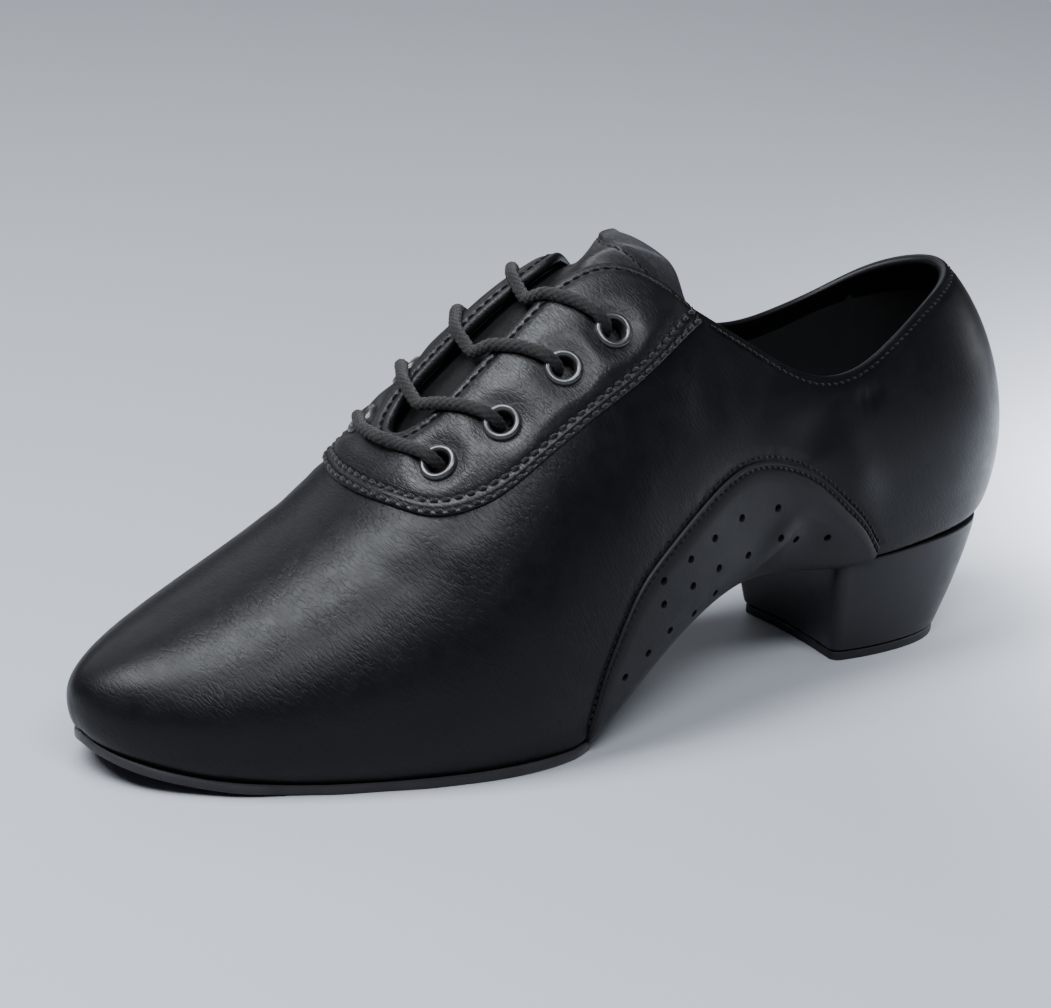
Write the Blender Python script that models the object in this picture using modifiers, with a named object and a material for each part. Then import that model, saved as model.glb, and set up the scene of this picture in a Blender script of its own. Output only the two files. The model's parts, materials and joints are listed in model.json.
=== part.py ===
"""A lace-up ballroom dance shoe for the left foot: a hollow leather upper on a suede sole and a low heel."""

import math

import bmesh
import bpy
import numpy as np
from mathutils import Matrix, Vector

# Driving sizes, in millimetres from the back of the heel
MM = 0.001
HUNDRED = 100
WELD = 0.03
LENGTH = 286.4
BALL_WIDTH = 95.0
INSTEP_HEIGHT = 125.0
HEEL_HEIGHT = 37.5
ORIGIN = (143.2, 0.4, 0.0)
CLEARANCE = 0.3
WALL = 1.6
TONGUE_THICKNESS = 2.0
FACING_THICKNESS = 1.2
PANEL_THICKNESS = 1.0
INSOLE_THICKNESS = 2.2
SOLE_THICKNESS = 2.2
LACE_DIAMETER = 4.0
OUTER = 1
INNER = -1
SIDES = (OUTER, INNER)

# The last: one row for each section along its length, each column in hundredths of a driving size
LAST_SIZES = {
    "x": LENGTH,
    "outer": BALL_WIDTH,
    "inner": BALL_WIDTH,
    "spine_y": BALL_WIDTH,
    "widest_z": INSTEP_HEIGHT,
    "feather_z": HEEL_HEIGHT,
    "outer_tuck": BALL_WIDTH,
    "inner_tuck": BALL_WIDTH,
    "ridge_z": INSTEP_HEIGHT,
}
LAST_ROWS = (
    (0.0, 0.0, 0.0, 0.0, 48.0, 100.0, 7.37, 7.37, 93.6),
    (5.59, 29.47, -29.47, 0.0, 47.6, 97.6, 6.32, 6.32, 93.6),
    (13.97, 35.26, -35.26, 0.0, 46.4, 92.27, 5.26, 5.26, 94.4),
    (24.44, 35.26, -34.21, 0.0, 44.0, 85.87, 7.89, 8.42, 96.4),
    (34.92, 36.84, -32.63, -0.32, 39.2, 83.47, 17.89, 15.79, 98.4),
    (45.39, 44.21, -35.79, -0.53, 32.0, 50.13, 18.95, 17.89, 100.0),
    (49.93, 47.16, -38.95, -0.53, 28.16, 28.8, 14.74, 14.21, 98.24),
    (54.12, 49.47, -42.11, -0.53, 24.8, 13.07, 8.95, 10.53, 93.84),
    (63.55, 52.11, -47.89, -0.53, 20.0, 3.2, 4.74, 5.26, 76.5),
    (73.32, 47.37, -51.05, -1.58, 17.6, 3.2, 4.74, 4.74, 55.6),
    (82.05, 38.42, -48.63, -4.21, 15.4, 5.9, 4.74, 4.74, 42.2),
    (90.08, 26.84, -42.11, -6.84, 13.8, 9.6, 4.74, 4.74, 32.4),
    (96.37, 12.11, -29.26, -8.95, 13.8, 18.67, 4.21, 4.21, 25.9),
    (100.0, -10.0, -10.0, -10.0, 16.8, 30.7, 3.68, 3.68, 16.8),
)
HEEL_CENTRE_SHIFT = 38.0
HEEL_FAN_LENGTH = 85.0
FEATHER_RISE = -78.0
RIDGE_RISE = 90.0

# The edge of the collar and throat: how far up each section the upper runs, in degrees
RIM_COLUMNS = ("x", "outer", "inner")
RIM_ROWS = (
    (0.0, 57.0, 57.0),
    (16.0, 52.4, 47.5),
    (34.0, 45.9, 37.8),
    (52.0, 37.1, 31.8),
    (66.0, 31.3, 29.8),
    (77.0, 30.9, 31.0),
    (88.0, 35.1, 34.5),
    (99.0, 42.7, 39.5),
    (111.0, 51.5, 45.0),
    (121.0, 60.4, 50.5),
    (130.0, 71.0, 58.5),
    (137.0, 77.5, 69.0),
    (145.0, 80.2, 80.5),
    (160.0, 79.6, 83.0),
    (172.0, 78.8, 81.0),
    (184.0, 79.5, 79.0),
    (197.0, 79.5, 79.5),
)
THROAT_END = 197.0
THROAT_ROUND = 13.0
UPPER_SPAN_COLUMNS = ("start", "end", "steps")
UPPER_SPANS = (
    (0.0, 112.0, 16),
    (112.0, 146.0, 7),
    (146.0, 184.0, 4),
    (184.0, THROAT_END, 4),
    (THROAT_END, LENGTH, 12),
)
UPPER_ROWS = 11

# The lace facing: its seam on the upper, and the point of the throat edge that faces each seam point
FACING_COLUMNS = ("seam_x", "outer", "inner", "edge_x")
FACING_ROWS = (
    (115.9, 52.6, 43.9, 118.5),
    (122.5, 50.1, 46.0, 124.0),
    (138.4, 45.2, 45.2, 134.0),
    (155.4, 44.2, 44.2, 148.0),
    (174.0, 44.9, 44.9, 165.0),
    (187.8, 46.8, 46.8, 180.0),
    (199.0, 53.7, 53.7, 190.0),
    (205.5, 64.9, 64.9, 194.5),
    (209.6, 79.0, 79.0, 196.6),
    (210.6, 90.0, 90.0, 197.0),
)
FACING_STEPS = 20
FACING_ROWS_ACROSS = 3
FACING_SEAT = 0.42

# The arch panel: its lower edge by the sole and its stitched upper edge
PANEL_COLUMNS = ("base_x", "base_rise", "edge_x", "edge_rise")
PANEL_ROWS = (
    (161.0, -66.0, 162.0, -54.0),
    (157.5, -69.0, 161.4, -38.0),
    (153.0, -71.0, 160.0, -18.5),
    (147.5, -72.0, 156.5, -0.8),
    (141.0, -73.0, 150.0, 6.0),
    (132.5, -74.0, 141.7, 9.9),
    (119.5, -75.0, 126.8, 13.7),
    (106.0, -75.0, 109.1, 17.0),
    (94.0, -75.0, 94.1, 14.4),
    (82.5, -74.0, 81.8, 8.0),
    (72.0, -72.0, 71.3, -3.8),
    (63.0, -70.0, 63.3, -27.0),
    (57.4, -68.0, 56.9, -57.0),
)
PANEL_STEPS = 22
PANEL_ROWS_ACROSS = 8
PANEL_SEAT = 0.45

# Eyelets and the lace bars between them
EYELET_COLUMNS = ("x", "rise", "knee_x", "far_x")
EYELET_ROWS = (
    (194.1, 66.5, 201.5, 200.0),
    (178.6, 60.5, 190.5, 189.0),
    (160.6, 59.1, 173.5, 173.0),
    (145.0, 58.7, 156.5, 155.0),
)
EYELET_RADIUS = 4.1
EYELET_WIRE = 0.9
EYELET_HEIGHT = 0.6
EYELET_SEGMENTS = 14
EYELET_WIRE_SEGMENTS = 6
HOLE_RADIUS = 2.9
HOLE_DEPTH = 12.0
HOLE_SEGMENTS = 12
LACE_BEND_STEPS = 3
LACE_ROUND_STEPS = 2
LACE_KNEE_RISE = 82.0
LACE_LIFT = 0.8

# The tongue
TONGUE_FRONT = 207.0
TONGUE_TOP = 127.0
TONGUE_EDGE_RISE = 54.0
TONGUE_CORNER = 7.0
TONGUE_TOP_SWEEP = -13.5
TONGUE_LIFT = 6.5
TONGUE_LIFT_START = 146.0
TONGUE_LIFT_END = 126.0
TONGUE_RIM_CLEAR = 3.0
TONGUE_SEAT = 1.2
TONGUE_RIM_BLEND = 8.0
TONGUE_CORNER_POWER = 4.0
TONGUE_SWEEP_POWER = 1.3
TONGUE_STEPS = 14
TONGUE_ROWS_ACROSS = 5

# The sole: how far its edge stands out from the feather line, and its thickness as a share of the forefoot's
SOLE_START = 68.0
SOLE_COLUMNS = ("x", "lip", "share")
SOLE_ROWS = (
    (SOLE_START, -0.6, 0.55),
    (100.0, -0.6, 0.55),
    (130.0, -0.6, 0.55),
    (148.0, 0.2, 0.75),
    (166.0, 1.4, 1.0),
    (210.0, 1.6, 1.0),
    (256.0, 1.9, 1.0),
    (278.0, 1.8, 1.0),
    (286.4, 0.8, 1.0),
)
SOLE_STEPS = 30
SEAT_STEPS = 8
SOLE_ROWS_ACROSS = 2
INSOLE_INSET = 1.6

# The heel block and its tip
BREAST_TOP = 67.6
BREAST_BASE = 64.0
BREAST_CORNER = 3.5
BREAST_HOLLOW = 1.5
HEEL_BASE_BACK = 17.0
HEEL_BASE_WIDTH = 0.82
HEEL_TIP_THICKNESS = 2.6
HEEL_TIP_INSET = 0.985
HEEL_RINGS = 6
HEEL_BACK_STEPS = 9
HEEL_SEAT_DROP = 0.2
BREAST_CORNER_STEPS = 4
BREAST_STEPS = 5
HEEL_WAIST_POWER = 1.3


def table(columns, rows):
    """The rows as one array for each named column."""
    return {name: np.array(values) for name, values in zip(columns, zip(*rows))}


LAST = {name: share * LAST_SIZES[name] / HUNDRED for name, share in table(LAST_SIZES, LAST_ROWS).items()}
RIM = table(RIM_COLUMNS, RIM_ROWS)
UPPER_SPAN = table(UPPER_SPAN_COLUMNS, UPPER_SPANS)
FACING = table(FACING_COLUMNS, FACING_ROWS)
PANEL = table(PANEL_COLUMNS, PANEL_ROWS)
SOLE = table(SOLE_COLUMNS, SOLE_ROWS)
EYELETS = [dict(zip(EYELET_COLUMNS, row)) for row in EYELET_ROWS]


def angle_of(x):
    """The angle along the length: zero at the back of the heel, pi at the tip of the toe."""
    return np.arccos(np.clip(1 - 2 * np.asarray(x, float) / LENGTH, -1, 1))


def length_of(angle):
    """The distance from the back of the heel at an angle along the length."""
    return LENGTH * (1 - np.cos(angle)) / 2


def spline(knots, values, at):
    """A smooth curve through the values at the knots."""
    count = len(knots)
    step = np.diff(knots)
    matrix = np.eye(count)
    right = np.zeros(count)
    for i in range(1, count - 1):
        matrix[i, i - 1:i + 2] = step[i - 1], 2 * (step[i - 1] + step[i]), step[i]
        right[i] = 6 * ((values[i + 1] - values[i]) / step[i] - (values[i] - values[i - 1]) / step[i - 1])
    bend = np.linalg.solve(matrix, right)
    i = np.clip(np.searchsorted(knots, at) - 1, 0, count - 2)
    d = np.asarray(at) - knots[i]
    h = step[i]
    slope = (values[i + 1] - values[i]) / h - h * (2 * bend[i] + bend[i + 1]) / 6
    return values[i] + d * slope + d ** 2 * bend[i] / 2 + d ** 3 * (bend[i + 1] - bend[i]) / (6 * h)


def along_rows(rows, name, part):
    """A column of a table of points, at a share of the way along its rows."""
    values = rows[name]
    return spline(np.arange(len(values), dtype=float), values, np.asarray(part) * (len(values) - 1))


def column(name, angle):
    """A column of the last at an angle along the length."""
    return spline(angle_of(LAST["x"]), LAST[name], angle)


def feather(angle):
    """The height of the line where the upper meets the sole, flat under the ball."""
    return np.maximum(column("feather_z", angle), SOLE_THICKNESS)


def smooth(part):
    """An even rise from zero to one."""
    part = np.clip(part, 0, 1)
    return part * part * (3 - 2 * part)


def outline(angle, side):
    """The widest outline in plan."""
    return np.stack([length_of(angle), column("outer" if side == OUTER else "inner", angle)], -1)


def plan_normal(angle, side):
    """The outward direction of the widest outline in plan."""
    reach = 1e-4
    along = outline(np.minimum(angle + reach, math.pi), side) - outline(np.maximum(angle - reach, 0), side)
    along = along / np.linalg.norm(along, axis=-1, keepdims=True)
    return np.stack([-along[..., 1] * side, along[..., 0] * side], -1)


def spine(angle):
    """The plan point that a section closes on above: fanned round the middle of the heel."""
    x = length_of(angle)
    shift = HEEL_CENTRE_SHIFT * (1 - smooth(x / HEEL_FAN_LENGTH))
    return np.stack([x + shift, column("spine_y", angle)], -1)


def last_point(angle, rise, side):
    """A point of the last: rise is -90 degrees at the feather, 0 at the widest line, 90 at the ridge."""
    angle, rise = np.broadcast_arrays(np.asarray(angle, float), np.asarray(rise, float))
    edge = outline(angle, side)
    middle = spine(angle)
    above = np.maximum(np.radians(rise), 0)
    below = np.minimum(np.radians(rise), 0)
    tuck = column("outer_tuck" if side == OUTER else "inner_tuck", angle)
    plan = middle + (edge - middle) * np.cos(above)[..., None]
    plan = plan - plan_normal(angle, side) * (tuck * (1 - np.cos(below)))[..., None]
    widest = column("widest_z", angle)
    crown = (column("ridge_z", angle) - widest) * np.sin(above)
    z = widest + crown + (widest - feather(angle)) * np.sin(below)
    return np.concatenate([plan, z[..., None]], -1)


def last_normal(angle, rise, side):
    """The outward direction of the last's surface."""
    reach = 1e-3
    turn = 0.1
    ahead = last_point(np.minimum(angle + reach, math.pi), rise, side)
    behind = last_point(np.maximum(angle - reach, 0), rise, side)
    higher = last_point(angle, np.minimum(rise + turn, RIDGE_RISE), side)
    lower = last_point(angle, rise - turn, side)
    normal = np.cross(higher - lower, ahead - behind) * side
    return normal / np.linalg.norm(normal, axis=-1, keepdims=True)


def raised(angle, rise, side, out):
    """A point at a distance out from the last's surface."""
    return last_point(angle, rise, side) + last_normal(angle, rise, side) * np.asarray(out)[..., None]


def rim_rise(x, side):
    """How far up the section the upper runs: to the ridge ahead of the throat."""
    x = np.asarray(x, float)
    edge = spline(RIM["x"], RIM["outer" if side == OUTER else "inner"], np.minimum(x, THROAT_END))
    part = np.clip((THROAT_END - x) / THROAT_ROUND, 0, 1)
    return RIDGE_RISE - (RIDGE_RISE - edge) * np.sqrt(1 - (1 - part) ** 2)


def stations(spans):
    """Angles along the length, evenly spaced in each span."""
    angles = [np.array([angle_of(spans["start"][0])])]
    for start, end, steps in zip(spans["start"], spans["end"], spans["steps"]):
        angles.append(np.linspace(angle_of(start), angle_of(end), steps + 1)[1:])
    return np.concatenate(angles)


def to_world(points):
    """Millimetres from the back of the heel to metres in the shared frame."""
    return (np.asarray(points) - np.array(ORIGIN)) * MM


def new_object(name, mesh, material):
    """A named part in the shoe's collection."""
    thing = bpy.data.objects.new(name, mesh)
    thing.data.materials.append(material)
    shoe.objects.link(thing)
    return thing


def grid_mesh(name, grids):
    """One open surface from grids of points, each with a flag to turn its faces, welded where they meet."""
    work = bmesh.new()
    for points, turned in grids:
        world = to_world(points)
        verts = [[work.verts.new(co) for co in row] for row in world]
        for i in range(len(verts) - 1):
            for j in range(len(verts[0]) - 1):
                corners = [verts[i][j], verts[i + 1][j], verts[i + 1][j + 1], verts[i][j + 1]]
                work.faces.new(corners[::-1] if turned else corners)
    bmesh.ops.remove_doubles(work, verts=work.verts, dist=WELD * MM)
    bmesh.ops.dissolve_degenerate(work, edges=work.edges, dist=WELD * MM)
    mesh = bpy.data.meshes.new(name)
    work.to_mesh(mesh)
    work.free()
    return mesh


def thicken(thing, thickness, outward):
    """A wall on an open surface, built outward or inward."""
    wall = thing.modifiers.new("wall", "SOLIDIFY")
    wall.thickness = thickness * MM
    wall.offset = 1 if outward else -1
    wall.use_even_offset = True
    wall.use_quality_normals = True
    return wall


def loft_mesh(name, rings):
    """A closed body through rings of points, with a flat cap at each end."""
    work = bmesh.new()
    loops = [[work.verts.new(co) for co in to_world(ring)] for ring in rings]
    for low, high in zip(loops, loops[1:]):
        for i in range(len(low)):
            j = (i + 1) % len(low)
            work.faces.new([low[i], low[j], high[j], high[i]])
    work.faces.new(loops[0][::-1])
    work.faces.new(loops[-1])
    bmesh.ops.recalc_face_normals(work, faces=work.faces)
    mesh = bpy.data.meshes.new(name)
    work.to_mesh(mesh)
    work.free()
    return mesh


def make_material(name, colour, roughness, metallic=0.0):
    """A plain finish."""
    material = bpy.data.materials.new(name)
    material.use_nodes = True
    shader = material.node_tree.nodes["Principled BSDF"]
    shader.inputs["Base Color"].default_value = (*colour, 1.0)
    shader.inputs["Roughness"].default_value = roughness
    shader.inputs["Metallic"].default_value = metallic
    return material


def build_upper(material):
    """The hollow upper, open at collar and throat and underneath."""
    angles = stations(UPPER_SPAN)
    part = np.linspace(0, 1, UPPER_ROWS + 1)
    grids = []
    for side in SIDES:
        top = rim_rise(length_of(angles), side)
        rise = FEATHER_RISE + (top - FEATHER_RISE)[:, None] * part
        grids.append((last_point(angles[:, None], rise, side), side == OUTER))
    upper = new_object("upper", grid_mesh("upper", grids), material)
    thicken(upper, WALL, False)
    return upper


def build_facing(material):
    """The U of leather round the throat that carries the eyelets."""
    part = np.linspace(0, 1, FACING_STEPS + 1)
    across = np.linspace(0, 1, FACING_ROWS_ACROSS + 1)
    seam_x = along_rows(FACING, "seam_x", part)[:, None]
    edge_x = along_rows(FACING, "edge_x", part)[:, None]
    grids = []
    for side in SIDES:
        x = seam_x + (edge_x - seam_x) * across
        seam_rise = along_rows(FACING, "outer" if side == OUTER else "inner", part)[:, None]
        rise = seam_rise + (rim_rise(edge_x, side) - seam_rise) * across
        rise = np.minimum(rise, RIDGE_RISE)
        grids.append((raised(angle_of(x), rise, side, FACING_SEAT), side == OUTER))
    facing = new_object("lace_facing", grid_mesh("lace_facing", grids), material)
    thicken(facing, FACING_THICKNESS, True)
    return facing


def build_panel(name, side, material):
    """A perforated panel over one side of the arch."""
    part = np.linspace(0, 1, PANEL_STEPS + 1)
    across = np.linspace(0, 1, PANEL_ROWS_ACROSS + 1)
    base_x = along_rows(PANEL, "base_x", part)[:, None]
    base_rise = along_rows(PANEL, "base_rise", part)[:, None]
    edge_x = along_rows(PANEL, "edge_x", part)[:, None]
    edge_rise = along_rows(PANEL, "edge_rise", part)[:, None]
    x = base_x + (edge_x - base_x) * across
    rise = base_rise + (edge_rise - base_rise) * across
    points = raised(angle_of(x), rise, side, PANEL_SEAT)
    panel = new_object(name, grid_mesh(name, [(points, side == INNER)]), material)
    thicken(panel, PANEL_THICKNESS, True)
    return panel


def build_tongue(material):
    """The tongue under the throat, its top standing up between the facings."""
    part = np.linspace(0, 1, TONGUE_STEPS + 1)
    rise = np.linspace(TONGUE_EDGE_RISE, RIDGE_RISE, TONGUE_ROWS_ACROSS + 1)
    share = (RIDGE_RISE - rise) / (RIDGE_RISE - TONGUE_EDGE_RISE)
    front = TONGUE_FRONT - TONGUE_CORNER * share ** TONGUE_CORNER_POWER
    top = TONGUE_TOP + TONGUE_TOP_SWEEP * share ** TONGUE_SWEEP_POWER
    x = top + (front - top) * part[:, None]
    lift = TONGUE_LIFT * smooth((TONGUE_LIFT_START - x) / (TONGUE_LIFT_START - TONGUE_LIFT_END))
    rim = np.maximum(rim_rise(x, OUTER), rim_rise(x, INNER))
    out = lift * smooth((rise - rim - TONGUE_RIM_CLEAR) / TONGUE_RIM_BLEND) - WALL - TONGUE_SEAT
    grids = []
    for side in SIDES:
        grids.append((raised(angle_of(x), rise[None, :], side, out), side == OUTER))
    tongue = new_object("tongue", grid_mesh("tongue", grids), material)
    thicken(tongue, TONGUE_THICKNESS, False)
    return tongue


def sole_sheet(angles, offset, height, rows_across):
    """A sheet across the feather lines of both sides, with its edge moved out by an offset."""
    edges = []
    for side in SIDES:
        edge = last_point(angles, FEATHER_RISE, side)[:, :2]
        edge = edge + plan_normal(angles, side) * np.asarray(offset)[..., None]
        edges.append(edge)
    across = np.linspace(0, 1, rows_across + 1)[None, :, None]
    plan = edges[0][:, None] + (edges[1] - edges[0])[:, None] * across
    z = np.broadcast_to((feather(angles) + height)[:, None, None], plan.shape[:2] + (1,))
    return np.concatenate([plan, z], -1)


def build_outsole(material):
    """The sole from the breast of the heel to the toe, thin in the waist."""
    angles = np.linspace(angle_of(SOLE_START), math.pi, SOLE_STEPS + 1)
    x = length_of(angles)
    lip = spline(SOLE["x"], SOLE["lip"], x)
    share = np.interp(x, SOLE["x"], SOLE["share"])
    sheet = sole_sheet(angles, lip, 0.0, SOLE_ROWS_ACROSS)
    sole = new_object("outsole", grid_mesh("outsole", [(sheet, True)]), material)
    group = sole.vertex_groups.new(name="thickness")
    for vertex in sole.data.vertices:
        group.add([vertex.index], float(np.interp(vertex.co.x / MM + ORIGIN[0], x, share)), "REPLACE")
    wall = thicken(sole, SOLE_THICKNESS, False)
    wall.vertex_group = group.name
    return sole


def build_insole(material):
    """The insole that fills the open underside of the upper."""
    seat = np.linspace(0, angle_of(SOLE_START), SEAT_STEPS + 1)
    angles = np.concatenate([seat[:-1], np.linspace(seat[-1], math.pi, SOLE_STEPS + 1)])
    inset = np.full_like(angles, -INSOLE_INSET)
    sheet = sole_sheet(angles, inset, CLEARANCE, SOLE_ROWS_ACROSS)
    insole = new_object("insole", grid_mesh("insole", [(sheet, False)]), material)
    thicken(insole, INSOLE_THICKNESS, False)
    return insole


def heel_outline():
    """The plan of the heel's top: round at the back, square at the breast with rounded corners."""
    corner_angle = angle_of(BREAST_TOP - BREAST_CORNER)
    turn = np.linspace(0, math.pi / 2, BREAST_CORNER_STEPS + 1)[1:]
    halves = []
    for side in SIDES:
        back = last_point(np.linspace(0, corner_angle, HEEL_BACK_STEPS + 1), FEATHER_RISE, side)[:, :2]
        start = back[-1]
        bend_x = start[0] + (BREAST_TOP - start[0]) * np.sin(turn)
        bend_y = start[1] - side * BREAST_CORNER * (1 - np.cos(turn))
        halves.append(np.concatenate([back, np.stack([bend_x, bend_y], -1)]))
    breast = np.linspace(halves[0][-1], halves[1][-1], BREAST_STEPS + 1)[1:-1]
    share = np.linspace(0, 1, BREAST_STEPS + 1)[1:-1]
    breast[:, 0] -= BREAST_HOLLOW * np.sin(np.pi * share)
    return np.concatenate([halves[0][1:], breast, halves[1][:0:-1], halves[0][:1]])


def heel_ring(plan, part, base_z):
    """A ring of the heel at a share of the way from the seat to the base."""
    narrow = part ** HEEL_WAIST_POWER
    back = plan[:, 0].min()
    base_x = HEEL_BASE_BACK + (plan[:, 0] - back) * (BREAST_BASE - HEEL_BASE_BACK) / (BREAST_TOP - back)
    x = plan[:, 0] + (base_x - plan[:, 0]) * narrow
    y = plan[:, 1] * (1 + (HEEL_BASE_WIDTH - 1) * narrow)
    seat = feather(angle_of(plan[:, 0])) - HEEL_SEAT_DROP
    z = seat + (base_z - seat) * part
    return np.stack([x, y, z], -1)


def build_heel(block_material, tip_material):
    """The heel block under the seat and the tip it stands on."""
    plan = heel_outline()
    block_base = HEEL_TIP_THICKNESS + CLEARANCE
    rings = [heel_ring(plan, part, block_base) for part in np.linspace(0, 1, HEEL_RINGS + 1)]
    block = new_object("heel_block", loft_mesh("heel_block", rings), block_material)
    base = rings[-1]
    middle = np.array([(HEEL_BASE_BACK + BREAST_BASE) / 2, 0.0])
    rim = middle + (base[:, :2] - middle) * HEEL_TIP_INSET
    tip_rings = [np.column_stack([rim, np.full(len(rim), z)]) for z in (HEEL_TIP_THICKNESS, 0.0)]
    tip = new_object("heel_tip", loft_mesh("heel_tip", tip_rings), tip_material)
    return block, tip


def eyelet_frame(x, rise, side, out):
    """A matrix at a point over the facing, its Z along the surface's outward direction."""
    angle = angle_of(x)
    centre = Vector(to_world(raised(angle, rise, side, np.array(out))))
    normal = Vector(last_normal(angle, np.array(rise), side))
    return Matrix.Translation(centre) @ normal.to_track_quat("Z", "Y").to_matrix().to_4x4()


def build_eyelets(material):
    """The flattened rings set in the facing, and the cutters for the holes below them."""
    seat = FACING_SEAT + FACING_THICKNESS + CLEARANCE + EYELET_HEIGHT
    for side, word in ((OUTER, "outer"), (INNER, "inner")):
        for number, eyelet in enumerate(EYELETS, 1):
            bpy.ops.mesh.primitive_torus_add(
                major_radius=EYELET_RADIUS * MM,
                minor_radius=EYELET_WIRE * MM,
                major_segments=EYELET_SEGMENTS,
                minor_segments=EYELET_WIRE_SEGMENTS,
            )
            ring = bpy.context.active_object
            flatten = Matrix.Diagonal((1.0, 1.0, EYELET_HEIGHT / EYELET_WIRE, 1.0))
            ring.data.transform(eyelet_frame(eyelet["x"], eyelet["rise"], side, seat) @ flatten)
            ring.name = f"eyelet_{word}_{number}"
            ring.data.materials.append(material)
            ring.users_collection[0].objects.unlink(ring)
            shoe.objects.link(ring)
            bpy.ops.mesh.primitive_cylinder_add(
                radius=HOLE_RADIUS * MM,
                depth=HOLE_DEPTH * MM,
                vertices=HOLE_SEGMENTS,
            )
            cutter = bpy.context.active_object
            cutter.data.transform(eyelet_frame(eyelet["x"], eyelet["rise"], side, 0.0))
            cutter.name = f"hole_{word}_{number}"
            cutter.display_type = "WIRE"
            cutter.hide_render = True
            cutter.users_collection[0].objects.unlink(cutter)
            cutters.objects.link(cutter)


def pierce(thing):
    """The eyelet holes through a wall."""
    cut = thing.modifiers.new("eyelet holes", "BOOLEAN")
    cut.operation = "DIFFERENCE"
    cut.operand_type = "COLLECTION"
    cut.collection = cutters
    cut.solver = "EXACT"


def build_laces(material):
    """Four bars of round lace, each from the outer eyelet across the throat to the inner one."""
    radius = LACE_DIAMETER / 2
    over_facing = FACING_SEAT + FACING_THICKNESS + LACE_LIFT + radius
    over_eyelet = over_facing + CLEARANCE + 2 * EYELET_HEIGHT
    for number, eyelet in enumerate(EYELETS, 1):
        x = eyelet["x"]
        rise = eyelet["rise"]
        knee_x = eyelet["knee_x"]
        far_x = eyelet["far_x"]
        stops = (
            (x, rise, OUTER, over_eyelet),
            ((x + knee_x) / 2, (rise + LACE_KNEE_RISE) / 2, OUTER, over_eyelet),
            (knee_x, LACE_KNEE_RISE, OUTER, over_facing),
            (far_x, LACE_KNEE_RISE, INNER, over_facing),
            ((x + far_x) / 2, (rise + LACE_KNEE_RISE) / 2, INNER, over_eyelet),
            (x, rise, INNER, over_eyelet),
        )
        curve = bpy.data.curves.new(f"lace_bar_{number}", "CURVE")
        curve.dimensions = "3D"
        curve.bevel_depth = radius * MM
        curve.bevel_resolution = LACE_ROUND_STEPS
        curve.resolution_u = LACE_BEND_STEPS
        curve.use_fill_caps = True
        path = curve.splines.new("BEZIER")
        path.bezier_points.add(len(stops) - 1)
        for knot, (stop_x, stop_rise, side, out) in zip(path.bezier_points, stops):
            knot.co = to_world(raised(angle_of(stop_x), np.array(stop_rise), side, np.array(out)))
            knot.handle_left_type = "AUTO"
            knot.handle_right_type = "AUTO"
        new_object(f"lace_bar_{number}", curve, material)


for old in list(bpy.data.objects):
    bpy.data.objects.remove(old)
shoe = bpy.data.collections.new("ballroom_dance_shoe")
bpy.context.scene.collection.children.link(shoe)
cutters = bpy.data.collections.new("cutters")
cutters.hide_render = True
bpy.context.scene.collection.children.link(cutters)

leather = make_material("black_leather", (0.012, 0.012, 0.014), 0.38)
panel_leather = make_material("perforated_leather", (0.022, 0.022, 0.025), 0.5)
tongue_leather = make_material("tongue_leather", (0.016, 0.016, 0.018), 0.42)
suede = make_material("sole_suede", (0.03, 0.029, 0.03), 0.95)
lining = make_material("insole_lining", (0.02, 0.02, 0.022), 0.8)
heel_leather = make_material("heel_leather", (0.014, 0.014, 0.016), 0.4)
tip_rubber = make_material("tip_rubber", (0.018, 0.018, 0.018), 0.85)
eyelet_metal = make_material("eyelet_enamel", (0.01, 0.01, 0.011), 0.25)
cord = make_material("lace_cord", (0.02, 0.019, 0.02), 0.9)

build_eyelets(eyelet_metal)
pierce(build_upper(leather))
pierce(build_facing(leather))
build_panel("arch_panel_outer", OUTER, panel_leather)
build_panel("arch_panel_inner", INNER, panel_leather)
build_tongue(tongue_leather)
build_insole(lining)
build_outsole(suede)
build_heel(heel_leather, tip_rubber)
build_laces(cord)
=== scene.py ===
"""The looks of a left lace-up ballroom dance shoe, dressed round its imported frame.

Sizes are millimetres from the back of the heel until a mesh is made, which is in metres in the frame.
"""

import json
import logging
import math
from dataclasses import dataclass, field
from enum import Enum
from typing import Optional, Sequence

import bmesh
import bpy
import numpy as np
from mathutils import Matrix, Vector

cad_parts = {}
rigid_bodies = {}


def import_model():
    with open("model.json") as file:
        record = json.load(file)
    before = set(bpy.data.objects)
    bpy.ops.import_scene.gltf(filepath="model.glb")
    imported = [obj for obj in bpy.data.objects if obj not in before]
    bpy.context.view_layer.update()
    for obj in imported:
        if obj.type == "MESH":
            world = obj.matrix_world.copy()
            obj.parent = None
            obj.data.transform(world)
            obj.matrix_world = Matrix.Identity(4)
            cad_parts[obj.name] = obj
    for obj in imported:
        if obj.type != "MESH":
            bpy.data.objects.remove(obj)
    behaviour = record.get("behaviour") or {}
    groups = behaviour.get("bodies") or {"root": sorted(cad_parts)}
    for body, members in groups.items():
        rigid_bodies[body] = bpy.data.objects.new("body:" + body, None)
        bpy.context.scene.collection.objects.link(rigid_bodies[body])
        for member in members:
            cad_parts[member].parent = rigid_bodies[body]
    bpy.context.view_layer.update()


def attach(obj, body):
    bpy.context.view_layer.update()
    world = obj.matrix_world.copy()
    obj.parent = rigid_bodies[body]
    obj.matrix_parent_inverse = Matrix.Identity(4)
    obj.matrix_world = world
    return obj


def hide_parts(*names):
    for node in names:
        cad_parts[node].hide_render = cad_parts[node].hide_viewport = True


LOG = logging.getLogger("dance_shoe")
MM = 0.001
WELD = 0.02
TINY = 1e-12
BODY = "root"

# Points, as along a row of stitches, and the leather's outward direction at each
Row = tuple[np.ndarray, np.ndarray]
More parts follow.
